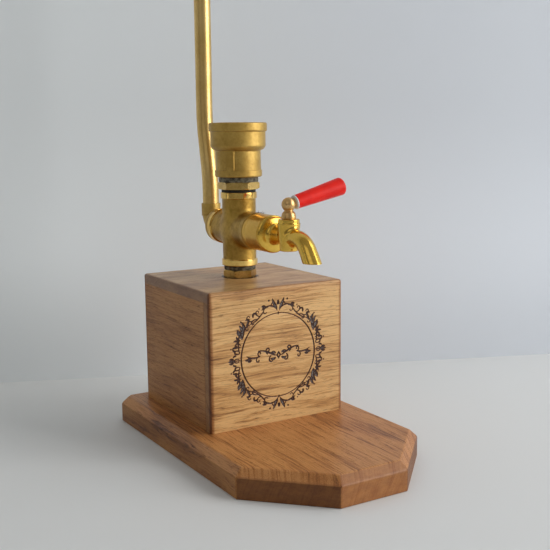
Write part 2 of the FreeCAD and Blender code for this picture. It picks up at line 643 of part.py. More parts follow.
def tap_plug():
    """The turning plug: shank with two ring grooves and a cross port, bell, neck and ball."""
    shank = s.barrel_top + s.barrel_bottom - s.well_depth + s.plug_step
    bell_foot = shank + s.plug_lift
    bell_top = bell_foot + s.bell_height
    ball_z = shank + s.ball_height
    groove = s.plug_radius - s.ring_depth
    upper, lower = shank - s.ring_upper, shank - s.ring_lower
    neck_meets_ball = ball_z - Size(math.sqrt(s.ball_radius.value ** 2 - s.plug_neck_radius.value ** 2))
    outline = [(0, 0), (s.plug_radius, 0),
               (s.plug_radius, lower - s.ring_width), (groove, lower - s.ring_width), (groove, lower),
               (s.plug_radius, lower),
               (s.plug_radius, upper - s.ring_width), (groove, upper - s.ring_width), (groove, upper),
               (s.plug_radius, upper),
               (s.plug_radius, bell_foot), (s.bell_radius, bell_foot),
               (s.bell_radius, bell_foot + s.bell_skirt),
               Bend(s.bell_round, -1), (s.plug_neck_radius, bell_top), (s.plug_neck_radius, neck_meets_ball),
               Bend(s.ball_radius, -1), (0, ball_z + s.ball_radius)]
    plug_z = barrel_bottom_z + s.well_depth - s.plug_step
    solid = turned("plug_turned", outline, y=tap_y, z=plug_z)
    centre = {"x": 0, "y": tap_y, "z": plug_z + ball_z}
    boss = cylinder("plug_boss", s.boss_radius, s.ferrule_start, turn=handle_turn(), **centre)
    stud_hole = cylinder("stud_hole", s.stud_radius, s.stud_end, turn=handle_turn(), **centre)
    port = cylinder("plug_port", s.plug_port_radius, (s.plug_radius + s.port_overrun) * 2,
                    -s.plug_radius - s.port_overrun, tap_y, cross_z, SIDEWAYS)
    screw_hole = cylinder("plug_screw_hole", s.plug_screw_radius, s.plug_screw_length, 0, tap_y, plug_z)
    solid = cut("plug_drilled", fuse("plug_with_boss", solid, boss),
                fuse("plug_holes", stud_hole, port, screw_hole))
    part("tap_plug", solid)

    rings = [ring(f"plug_ring_{number}", s.plug_radius, groove, s.ring_width, y=tap_y,
                  z=plug_z + height - s.ring_width) for number, height in enumerate((lower, upper), start=1)]
    part("plug_rings", fuse("plug_ring_pair", *rings))

    washer_z = plug_z - s.plug_washer_thickness
    part("plug_washer", ring("plug_washer_ring", s.plug_washer_radius, s.plug_screw_radius,
                             s.plug_washer_thickness, y=tap_y, z=washer_z))
    head = cylinder("plug_screw_head", s.plug_screw_head_radius, s.plug_screw_head_height, 0, tap_y,
                    washer_z - s.plug_screw_head_height)
    shaft = cylinder("plug_screw_shaft", s.plug_screw_radius,
                     s.plug_screw_length + s.plug_washer_thickness, 0, tap_y, washer_z)
    part("plug_screw", fuse("plug_screw_solid", head, shaft))
    return centre


def handle(centre):
    """Stud, ferrule and tapered grip on one line out of the ball."""
    stud = turned("handle_stud_body",
                  [(0, s.stud_start), (s.stud_radius, s.stud_start), (s.stud_radius, s.stud_end),
                   (0, s.stud_end)], turn=handle_turn(), **centre)
    part("handle_stud", stud)
    ferrule_end = s.ferrule_start + s.ferrule_length
    bevel = s.ferrule_chamfer
    ferrule = turned("handle_ferrule_body",
                     [(s.stud_radius, s.ferrule_start), (s.ferrule_radius - bevel, s.ferrule_start),
                      (s.ferrule_radius, s.ferrule_start + bevel), (s.ferrule_radius, ferrule_end),
                      (s.stud_radius, ferrule_end)], turn=handle_turn(), **centre)
    part("handle_ferrule", ferrule)
    grip = turned("handle_grip_body",
                  [(s.stud_radius, ferrule_end), (s.grip_root_radius, ferrule_end),
                   (s.grip_end_radius, s.grip_end - s.grip_end_round), Bend(s.grip_end_round, -1),
                   (s.grip_end_radius - s.grip_end_round, s.grip_end), (0, s.grip_end), (0, s.stud_end),
                   (s.stud_radius, s.stud_end)], turn=handle_turn(), **centre)
    part("handle_grip", grip)


# ---------------------------------------------------------------- vent
def vent_elbow():
    """A solder elbow: threaded spigot and shoulder at the cross, short bend, socket for the tube."""
    reach, bend = s.thread_reach, s.elbow_bend_radius
    leg_end = s.elbow_reach - bend
    spigot = cylinder("elbow_spigot", s.half_thread_radius, reach + s.rear_seal_thickness, 0,
                      s.column_y + s.cross_reach - reach, cross_z, BACKWARD)
    shoulder = cylinder("elbow_shoulder", s.elbow_shoulder_radius, s.elbow_shoulder_length, 0,
                        s.column_y + elbow_face, cross_z, BACKWARD)
    leg = cylinder("elbow_leg", s.elbow_leg_radius, leg_end - elbow_face, 0, s.column_y + elbow_face, cross_z,
                   BACKWARD)
    socket = cylinder("elbow_socket", s.elbow_socket_radius, s.elbow_socket_top - s.elbow_socket_start, 0,
                      s.column_y + s.elbow_reach, cross_z + s.elbow_socket_start)

    def quarter(name, radius):
        """A quarter torus from the level leg up into the socket."""
        torus = bind(doc.addObject("Part::Torus", name), Radius1=bend, Radius2=radius)
        torus.Angle3 = 90
        return place(torus, 0, s.column_y + leg_end, cross_z + bend,
                     Rotation(Vector(0, 1, 0), Vector(0, 0, -1), Vector(1, 0, 0), "XYZ"))

    solid = fuse("elbow_solid", spigot, shoulder, leg, quarter("elbow_bend", s.elbow_leg_radius), socket)
    inlet = cylinder("elbow_inlet", s.elbow_bore_radius, leg_end - s.cross_reach + reach, 0,
                     s.column_y + s.cross_reach - reach, cross_z, BACKWARD)
    tube_seat = cylinder("elbow_tube_seat", s.tube_radius + s.solder_gap, s.elbow_socket_top - bend, 0,
                         s.column_y + s.elbow_reach, cross_z + bend)
    hollow = fuse("elbow_hollow", inlet, quarter("elbow_bend_bore", s.elbow_bore_radius), tube_seat)
    part("vent_elbow", cut("vent_elbow_bored", solid, hollow))
    part("rear_seal", ring("rear_seal_ring", s.rear_seal_radius, half_socket_radius, s.rear_seal_thickness,
                           y=s.column_y + s.cross_reach, z=cross_z, turn=BACKWARD))


def vent_tube():
    """A tube up from the elbow, with a shallow double bend that clears the bottle."""
    body = doc.addObject("PartDesign::Body", "vent_tube_body")
    lean, radius = math.radians(s.tube_lean.value), s.tube_bend_radius
    sideways, upwards = Size(1 - math.cos(lean)), Size(math.sin(lean))
    slope_y, slope_z = s.tube_slope_run * math.sin(lean), s.tube_slope_run * math.cos(lean)
    first = s.tube_first_run
    top = s.tube_top - cross_z - s.elbow_bend_radius
    corners = [(0, 0), (0, first), Bend(radius, 1),
               (radius * sideways, first + radius * upwards),
               (radius * sideways + slope_y, first + radius * upwards + slope_z), Bend(radius, -1),
               (radius * sideways * 2 + slope_y, first + radius * upwards * 2 + slope_z),
               (radius * sideways * 2 + slope_y, top)]
    spine = draw_path(new_sketch(body, "vent_tube_spine", "YZ_Plane"), corners, closed=False)
    section = new_sketch(body, "vent_tube_section", "XY_Plane")
    for name, size in (("outside", s.tube_radius), ("inside", s.tube_bore_radius)):
        edge = section.addGeometry(Part.Circle(Vector(), Vector(0, 0, 1), size.value), False)
        section.addConstraint(Sketcher.Constraint("Coincident", edge, 3, -1, 1))
        constrain(section, name, Sketcher.Constraint("Radius", edge, size.value), size)
    doc.recompute()
    pipe = body.newObject("PartDesign::AdditivePipe", "vent_tube_pipe")
    pipe.Profile = section
    pipe.Spine = (spine, [f"Edge{number}" for number in range(1, spine.GeometryCount + 1)])
    part("vent_tube", place(body, 0, s.column_y + s.elbow_reach, cross_z + s.elbow_bend_radius))


# ---------------------------------------------------------------- build, check and write
wooden_stand()
anchor()
cross()
reducer()
bottle_socket()
tap_extension()
tap_body()
handle(tap_plug())
vent_elbow()
vent_tube()
doc.recompute()

failed = [thing.Name for thing in doc.Objects if {"Invalid", "Error"} & set(thing.State)]
if failed:
    raise RuntimeError("features that failed: " + ", ".join(failed))
for node, thing in parts.items():
    if thing.Shape.isNull() or not thing.Shape.isValid() or not thing.Shape.Solids:
        raise RuntimeError("no valid solid in " + node)

os.makedirs("parts", exist_ok=True)
for node, thing in parts.items():
    thing.Shape.exportStep(f"parts/{node}.step")
    box_of_part = thing.Shape.BoundBox
    print(f"{node}: {len(thing.Shape.Solids)} solid(s), {thing.Shape.Volume:.0f} mm3, "
          f"z {box_of_part.ZMin:.1f} to {box_of_part.ZMax:.1f}")
print(len(parts), "sub-parts written")
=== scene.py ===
import math

import bmesh
import bpy
import numpy as np
from mathutils import Matrix, Vector


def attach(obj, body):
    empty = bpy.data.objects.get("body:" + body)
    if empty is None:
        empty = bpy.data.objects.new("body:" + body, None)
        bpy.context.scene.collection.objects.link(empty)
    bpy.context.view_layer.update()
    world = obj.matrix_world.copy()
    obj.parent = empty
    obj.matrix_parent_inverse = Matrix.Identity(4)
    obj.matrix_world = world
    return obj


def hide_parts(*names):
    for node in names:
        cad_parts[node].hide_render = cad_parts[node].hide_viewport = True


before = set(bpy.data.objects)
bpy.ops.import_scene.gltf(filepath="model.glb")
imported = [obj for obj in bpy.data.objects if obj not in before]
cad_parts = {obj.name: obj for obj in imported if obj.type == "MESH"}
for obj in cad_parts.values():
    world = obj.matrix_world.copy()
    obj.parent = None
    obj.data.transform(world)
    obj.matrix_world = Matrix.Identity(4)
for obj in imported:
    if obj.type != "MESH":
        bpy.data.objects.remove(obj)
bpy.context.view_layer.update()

# a bottle tap stand: oak block on an oak board, brass cross, lever tap, bottle socket, vent tube
# every size below is in millimetres; only the meshes are in metres
scene = bpy.context.scene
perMetre = 1000
weldGap = 2e-6                  # points closer than this, in metres, become one
columnY, crossZ = 45.0, 145.0   # where the column stands, and the height at which the cross's arms meet
columnHole = 10.6               # the hole that the column passes through in the lid


cameraSetup = {
    "place": (-307.17, -512.54, 210.89),
    "right": (0.85566, -0.51745, -0.00973),
    "up": (0.0881, 0.1271, 0.9880),
    "forward": (0.50998, 0.84622, -0.15438),
    "lens": 59.57,
    "sensor": 36,
    "clip": (0.01, 50),         # in metres
}


def addCamera(setup):
    # the matrix has the camera's axes as its columns; the camera looks against the third
    data = bpy.data.cameras.new("camera")
    data.lens, data.sensor_width = setup["lens"], setup["sensor"]
    data.clip_start, data.clip_end = setup["clip"]
    camera = bpy.data.objects.new("camera", data)
    scene.collection.objects.link(camera)
    axes = Matrix((setup["right"], setup["up"], [-n for n in setup["forward"]])).transposed()
    camera.matrix_world = Matrix.Translation(Vector(setup["place"]) / perMetre) @ axes.to_4x4()
    scene.camera = camera


addCamera(cameraSetup)
scene.view_settings.view_transform = "Standard"
print("camera placed")


def tint(red, green, blue):
    # an sRGB colour of 0 to 255 as the linear colour that sockets take
    value = np.array([red, green, blue]) / 255
    linear = np.where(value <= 0.04045, value / 12.92, ((value + 0.055) / 1.055) ** 2.4)
    return (*linear.tolist(), 1.0)


class Recipe:
    # the nodes of a material, or of a world, with short names for the usual steps
    def __init__(self, name, store="materials"):
        self.owner = getattr(bpy.data, store).new(name)
        self.owner.use_nodes = True
        self.tree = self.owner.node_tree
        self.tree.nodes.clear()

    def node(self, kind, values=None, **settings):
        # values are for the node's inputs, settings for its own choices
        made = self.tree.nodes.new("ShaderNode" + kind)
        for key, value in settings.items():
            setattr(made, key, value)
        for key, value in (values or {}).items():
            self.feed(made.inputs[key], value)
        return made

    def feed(self, socket, value):
        # another node's output is linked, anything else stays on the socket as its value
        if isinstance(value, bpy.types.NodeSocket):
            self.tree.links.new(value, socket)
        else:
            socket.default_value = value

    def math(self, operation, *values, clamp=False):
        return self.node("Math", dict(enumerate(values)), operation=operation, use_clamp=clamp).outputs[0]

    def plus(self, first, second, clamp=False):
        return self.math("ADD", first, second, clamp=clamp)

    def times(self, first, second):
        return self.math("MULTIPLY", first, second)

    def vector(self, operation, *values, output="Vector"):
        return self.node("VectorMath", dict(enumerate(values)), operation=operation).outputs[output]

    def place(self):
        # object coordinates in millimetres
        return self.vector("MULTIPLY", self.node("TexCoord").outputs["Object"], (perMetre,) * 3)

    def noise(self, place, cells, detail=2.0, rough=0.5):
        # noise with this many cells to a millimetre: one number for all axes, or one for each
        scaled = self.vector("MULTIPLY", place, cells if isinstance(cells, tuple) else (cells,) * 3)
        values = {"Vector": scaled, "Scale": 1.0, "Detail": detail, "Roughness": rough}
        return self.node("TexNoise", values).outputs["Fac"]

    def span(self, value, low, high, start=0.0, end=1.0, kind="SMOOTHSTEP"):
        # low to high becomes start to end, with soft ends unless the kind is linear
        made = self.node("MapRange", {"Value": value, "From Min": low, "From Max": high,
                                      "To Min": start, "To Max": end}, interpolation_type=kind)
        return made.outputs[0]

    def mix(self, factor, first, second, blend="MIX"):
        # the first colour at a factor of 0, the second or the blend of both at 1
        made = self.node("Mix", data_type="RGBA", blend_type=blend)
        for name, value in (("Factor_Float", factor), ("A_Color", first), ("B_Color", second)):
            self.feed(next(s for s in made.inputs if s.identifier == name), value)
        return next(s for s in made.outputs if s.identifier == "Result_Color")

    def dye(self, factor, colour, stain):
        # the colour, times the stain as far as the factor says
        return self.mix(factor, colour, stain, "MULTIPLY")

    def ramp(self, factor, stops, kind="LINEAR"):
        # the colour between two stops, given as (place, colour), where the factor lies
        made = self.node("ValToRGB", {"Fac": factor})
        made.color_ramp.interpolation = kind
        elements = made.color_ramp.elements
        while len(elements) < len(stops):
            elements.new(0.5)
        for element, (spot, colour) in zip(elements, stops):
            element.position, element.color = spot, colour
        return made.outputs["Color"]

    def mark(self, name):
        # a number that the mesh carries at each of its points
        return self.node("Attribute", attribute_name=name).outputs["Fac"]

    def bump(self, height, depth, normal=None):
        # depth in millimetres for a height of 1
        values = {"Height": height, "Distance": depth / perMetre, "Strength": 1.0}
        if normal is not None:
            values["Normal"] = normal
        return self.node("Bump", values).outputs["Normal"]

    def shade(self, **values):
        # the finished material, with these values on its shader's sockets
        names = {"colour": "Base Color", "metal": "Metallic", "rough": "Roughness", "normal": "Normal",
                 "coat": "Coat Weight", "coatRough": "Coat Roughness", "specular": "Specular IOR Level"}
        shader = self.node("BsdfPrincipled", {names[key]: value for key, value in values.items()})
        self.node("OutputMaterial", {"Surface": shader.outputs[0]})
        return self.owner


# pale table, pale wall, one wide window light from the right front and weak lights around it
room = {
    "table": tint(228, 229, 228), "tableRough": 0.55, "tableShine": 0.2, "tableSize": 6000,
    # the second tint is painted light: the wall turns lighter towards its left end
    "wall": tint(226, 231, 238), "wallPaintedLight": tint(248, 253, 255),
    "wallTurn": (-120, 330),                # the painted light on the left fades into the wall's tint between these, along its foot
    "wallFoot": ((-42, 234), (261, 114)),   # two points of the line where wall and table meet
    "wallHalf": 3000, "wallHeight": 2600,
    "wallPaintedShade": [(0, 0.89), (110, 1.0), (250, 0.89), (400, 0.89)],   # height, share of the paint: painted shade, lightest at mid height
    "aim": (0, 20, 120),                    # every lamp faces this place
    # name, place, width and height, power
    "lamps": [
        ("window", (1190, -1215, 700), (1100, 1300), 21.0),
        ("skylight", (860, -430, 1300), (600, 600), 2.4),
        ("doorway", (-1460, 380, 480), (200, 1000), 0.45),
        ("bounce", (-1500, -900, 1300), (1400, 1400), 3.0),
    ],
    # the air is darker low and to the left, so that polished brass has something dark to mirror
    "air": 0.38, "airTint": tint(232, 232, 229), "airLean": (0.45, 0.0, 0.75),
    "airSpan": (-0.6, 0.8, 0.25, 1.0),      # lean from and to, share of the air from and to
}


def newMesh(name, vertices, faces):
    # the points are given in millimetres
    mesh = bpy.data.meshes.new(name)
    mesh.from_pydata((vertices / perMetre).tolist(), [], faces)
    return mesh


def flatPiece(name, corners, material):
    # one quad of the room, which isn't part of the object
    mesh = newMesh(name, np.array(corners, float), [[0, 1, 2, 3]])
    mesh.materials.append(material)
    flat = bpy.data.objects.new(name, mesh)
    scene.collection.objects.link(flat)


def addLamp(name, place, size, power):
    # a rectangular light turned towards the aim
    data = bpy.data.lights.new(name, "AREA")
    data.shape, data.energy = "RECTANGLE", power
    data.size, data.size_y = size[0] / perMetre, size[1] / perMetre
    lamp = bpy.data.objects.new(name, data)
    scene.collection.objects.link(lamp)
    lamp.location = Vector(place) / perMetre
    lamp.rotation_euler = (Vector(room["aim"]) - Vector(place)).to_track_quat("-Z", "Y").to_euler()


def buildWall(setup):
    # an upright quad along the wall's foot, clear from behind; its paint is the tint for the distance
    # along the foot, with painted light towards the left, times painted shade for the height
    left, right = [np.array(point, float) for point in setup["wallFoot"]]
    along = (right - left) / np.linalg.norm(right - left)
    wall = Recipe("wall_paint")
    fromLeft = wall.vector("SUBTRACT", wall.place(), (*left, 0))
    run = wall.vector("DOT_PRODUCT", fromLeft, (*along, 0), output="Value")
    # painted light: the tint grows lighter towards the wall's left end
    tone = wall.mix(wall.span(run, *setup["wallTurn"]), setup["wallPaintedLight"], setup["wall"])
    height = wall.node("SeparateXYZ", {0: wall.place()}).outputs["Z"]
    # painted shade: the paint is darker near the table and high up
    ceiling = setup["wallPaintedShade"][-1][0]
    stops = [(level / ceiling, (share, share, share, 1)) for level, share in setup["wallPaintedShade"]]
    shade = wall.ramp(wall.math("DIVIDE", height, ceiling), stops, "EASE")
    paint = wall.node("BsdfDiffuse", {"Color": wall.dye(1.0, tone, shade)})
    clear = wall.node("BsdfTransparent")
    behind = wall.node("NewGeometry").outputs["Backfacing"]
    choice = wall.node("MixShader", {0: behind, 1: paint.outputs[0], 2: clear.outputs[0]})
    wall.node("OutputMaterial", {"Surface": choice.outputs[0]})
    middle, top = (left + right) / 2, setup["wallHeight"]
    start, end = middle - along * setup["wallHalf"], middle + along * setup["wallHalf"]
    flatPiece("wall", [(*start, 0), (*end, 0), (*end, top), (*start, top)], wall.owner)


def buildAir(setup):
    # the world's light: each direction's lean, the dot product with one vector, gives its strength
    air = Recipe("air", "worlds")
    scene.world = air.owner
    direction = air.node("TexCoord").outputs["Generated"]
    lean = air.vector("DOT_PRODUCT", direction, setup["airLean"], output="Value")
    strength = air.times(air.span(lean, *setup["airSpan"], kind="LINEAR"), setup["air"])
    background = air.node("Background", {"Color": setup["airTint"], "Strength": strength})
    air.node("OutputWorld", {"Surface": background.outputs[0]})


def buildRoom(setup):
    # a square table round the origin, the wall, the lamps and the world's light
    table = Recipe("table_paint").shade(colour=setup["table"], rough=setup["tableRough"],
                                        specular=setup["tableShine"])
    reach = setup["tableSize"] / 2
    flatPiece("table", [(-reach, -reach, 0), (reach, -reach, 0), (reach, reach, 0), (-reach, reach, 0)],
              table)
    buildWall(setup)
    for name, place, size, power in setup["lamps"]:
        addLamp(name, place, size, power)
    buildAir(setup)


buildRoom(room)
print("room and lights placed")


def roundedProfile(corners, steps=5, closed=False):
    # straight lines through (across, along, radius) corners; a corner with a radius becomes an arc
    # between its two tangent points, which stay short of the middle of each line
    flat = np.array([corner[:2] for corner in corners], float)
    radii = [corner[2] if len(corner) > 2 else 0 for corner in corners]
    runs = []
    for index, here in enumerate(flat):
        if radii[index] == 0 or (not closed and index in (0, len(flat) - 1)):
            runs.append(here[None])
            continue
        back, ahead = flat[index - 1] - here, flat[(index + 1) % len(flat)] - here
        backLength, aheadLength = np.linalg.norm(back), np.linalg.norm(ahead)
        back, ahead = back / backLength, ahead / aheadLength
        half = math.acos(max(-1, min(1, back @ ahead))) / 2
        reach = min(radii[index] / math.tan(half), 0.49 * min(backLength, aheadLength))
        radius = reach * math.tan(half)
        middle = here + (back + ahead) / np.linalg.norm(back + ahead) * radius / math.sin(half)
        start, end = here + back * reach - middle, here + ahead * reach - middle
        first = math.atan2(start[1], start[0])
        turn = (math.atan2(end[1], end[0]) - first + math.pi) % (2 * math.pi) - math.pi
        angle = first + turn * np.linspace(0, 1, steps + 1)
        runs.append(middle + radius * np.stack([np.cos(angle), np.sin(angle)], -1))
    return heldEnds(np.concatenate(runs), closed)


def heldEnds(points, closed, hold=0.12):
    # extra points a little way in from both ends of each long line keep its shading flat
    following = np.roll(points, -1, 0) if closed else points[1:]
    current = points if closed else points[:-1]
    length = np.linalg.norm(following - current, axis=1)
    isLong = length > hold * 5
    share = np.where(isLong, hold / np.maximum(length, 1e-9), np.nan)
    first = current + (following - current) * share[:, None]
    last = following - (following - current) * share[:, None]
    rows = np.stack([current, first, last], 1).reshape(-1, 2)
    rows = rows if closed else np.concatenate([rows, points[-1:]])
    return rows[~np.isnan(rows[:, 0])]


def ringed(radius, angle, height):
    # cylinder coordinates as (x, y, z)
    return np.stack(np.broadcast_arrays(radius * np.cos(angle), radius * np.sin(angle), height), -1)


def turned(profile, middle, along=(0, 0, 1), side=(1, 0, 0), segments=96):
    # a surface of revolution: each (radius, distance) of the profile is carried round the axis
    along, side = np.array(along, float), np.array(side, float)
    other = np.cross(along, side)
    angle = np.linspace(0, 2 * np.pi, segments, endpoint=False)
    rim = np.cos(angle)[:, None] * side + np.sin(angle)[:, None] * other
    return np.array(middle) + profile[:, 1, None, None] * along + profile[:, 0, None, None] * rim


def carried(path, profile, segments=64):
    # a tube about a path in the Y-Z plane: each (radius, distance along the path) is a ring
    # square to the path there
    run = np.concatenate([[0], np.cumsum(np.linalg.norm(np.diff(path, axis=0), axis=1))])
    heading = np.gradient(path, run, axis=0)
    spot = np.stack([np.interp(profile[:, 1], run, path[:, k]) for k in range(3)], -1)
    ahead = np.stack([np.interp(profile[:, 1], run, heading[:, k]) for k in range(3)], -1)
    ahead /= np.linalg.norm(ahead, axis=1, keepdims=True)
    side = np.array([1.0, 0, 0])
    other = np.cross(ahead, side)
    angle = np.linspace(0, 2 * np.pi, segments, endpoint=False)[None, :, None]
    rim = np.cos(angle) * side + np.sin(angle) * other[:, None]
    return spot[:, None] + profile[:, 0, None, None] * rim


def route(start, heading, moves, step):
    # a path in the Y-Z plane: ("run", length) and ("bend", radius, degrees) from a start point,
    # with the heading in degrees from +Y towards +Z
    spots, angle = [np.array([start], float)], math.radians(heading)
    for kind, *sizes in moves:
        last = spots[-1][-1]
        if kind == "run":
            share = np.linspace(0, 1, max(2, int(sizes[0] / step) + 1))[1:, None]
            spots.append(last + share * sizes[0] * np.array([0, math.cos(angle), math.sin(angle)]))
        else:
            radius, turn = sizes[0], math.radians(sizes[1])
            count = max(3, int(abs(turn) * radius / step) + 1)
            angles = angle + turn * np.linspace(0, 1, count)[1:]
            sign = math.copysign(1, turn)
            spots.append(last + radius * sign * np.stack(
                [angles * 0, np.sin(angles) - math.sin(angle), math.cos(angle) - np.cos(angles)], -1))
            angle += turn
    return np.concatenate(spots)


def gridFaces(rows, columns, wrapRows, wrapColumns):
    # one quad between each grid point and its next row and next column
    row = np.arange(rows if wrapRows else rows - 1)[:, None]
    column = np.arange(columns if wrapColumns else columns - 1)[None, :]
    nextRow, nextColumn = (row + 1) % rows, (column + 1) % columns
    quads = [row * columns + column, row * columns + nextColumn,
             nextRow * columns + nextColumn, nextRow * columns + column]
    return np.stack(quads, -1).reshape(-1, 4)


def joined(surfaces, caps=False):
    # the points and faces of several grids, each given as (points, wrapRows, wrapColumns); caps close
    # each grid's first and last row
    vertices, faces, start = [], [], 0
    for points, wrapRows, wrapColumns in surfaces:
        rows, columns = points.shape[:2]
        vertices.append(points.reshape(-1, 3))
        faces += (gridFaces(rows, columns, wrapRows, wrapColumns) + start).tolist()
        if caps:
            faces.append((np.arange(columns)[::-1] + start).tolist())
            faces.append((np.arange(columns) + start + (rows - 1) * columns).tolist())
        start += rows * columns
    return np.concatenate(vertices), faces


def closeUp(mesh, weld=True):
    # points that coincide, at poles and shared edges, become one, and then the faces turn outwards
    work = bmesh.new()
    work.from_mesh(mesh)
    if weld:
        bmesh.ops.remove_doubles(work, verts=work.verts, dist=weldGap)
    bmesh.ops.recalc_face_normals(work, faces=work.faces)
    work.to_mesh(mesh)
    work.free()


def fitPiece(mesh, body, replaces, sharp):
    # the mesh as a piece, smooth except across edges of more than the sharp angle
    mesh.shade_smooth()
    mesh.set_sharp_from_angle(angle=math.radians(sharp))
    piece = bpy.data.objects.new(mesh.name, mesh)
    scene.collection.objects.link(piece)
    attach(piece, body)
    if replaces:
        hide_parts(*replaces)
    return piece


def meshPiece(name, surfaces, materials, body, replaces=(), sharp=32, weld=True, caps=False,
              paint=None, marks=None):
    # paint gives each face the number of its material; marks are named numbers for every point, which
    # the materials read
    vertices, faces = joined(surfaces, caps)
    mesh = newMesh(name, vertices, faces)
    for material in materials if isinstance(materials, list) else [materials]:
        mesh.materials.append(material)
    if paint is not None:
        mesh.polygons.foreach_set("material_index", paint(vertices, faces))
    for label, values in (marks or {}).items():
        numbers = values.astype(np.float32).ravel()
        mesh.attributes.new(label, "FLOAT", "POINT").data.foreach_set("value", numbers)
    closeUp(mesh, weld)
    return fitPiece(mesh, body, replaces, sharp)


# oak for every board; cells are noise cells to a millimetre, first along the grain
oakFinish = {
    "pale": tint(238, 196, 138), "middle": tint(212, 163, 104), "dark": tint(124, 80, 44), "middleAt": 0.36,
    "sway": 9.0, "swayCells": (0.012, 0.02, 0.02),          # how far the rings wander, slowly
    "ripple": 1.8, "rippleCells": (0.06, 0.16, 0.16),       # and how far they waver
    "bandCells": (0.008, 0.27, 1), "lineCells": (0.026, 0.8, 1), "patchCells": (0.014, 0.045, 0.045),
    "fibreCells": (0.05, 2.2, 2.2), "fibreDepth": 0.45, "fibreRough": 0.08,
    "pore": tint(56, 34, 20), "poreCells": (0.2, 2.5, 2.5), "poreShare": 0.6, "poreDepth": 0.07,
    "poreRough": 0.2,
    "endTurn": (0.42, 0.69),                                # how far a face turns to show the fibres' ends
    "mottle": tint(176, 126, 76), "mottleCells": (0.13, 0.13, 0.3), "mottleShare": 0.6,
    "soaked": tint(140, 110, 84), "worn": tint(166, 114, 70), "wornShare": 0.7,
    "rough": 0.42, "shine": 0.35, "coatRough": 0.24,
    # the dark ring round the column
    "ring": tint(44, 26, 14), "ringShare": 0.85, "ringWidth": 1.2, "ringRough": 0.3,
    "smear": 6.0, "smearCells": 0.9,
    # the engraving, with painted glint: pale reflections of the glossy char
    "burnt": tint(32, 17, 10), "charred": tint(74, 42, 26), "scorched": tint(150, 98, 60),
    "burnRough": 0.2, "sootCells": (0.5, 0.9, 0.9), "glint": tint(124, 118, 116), "glintCells": 1.1,
}


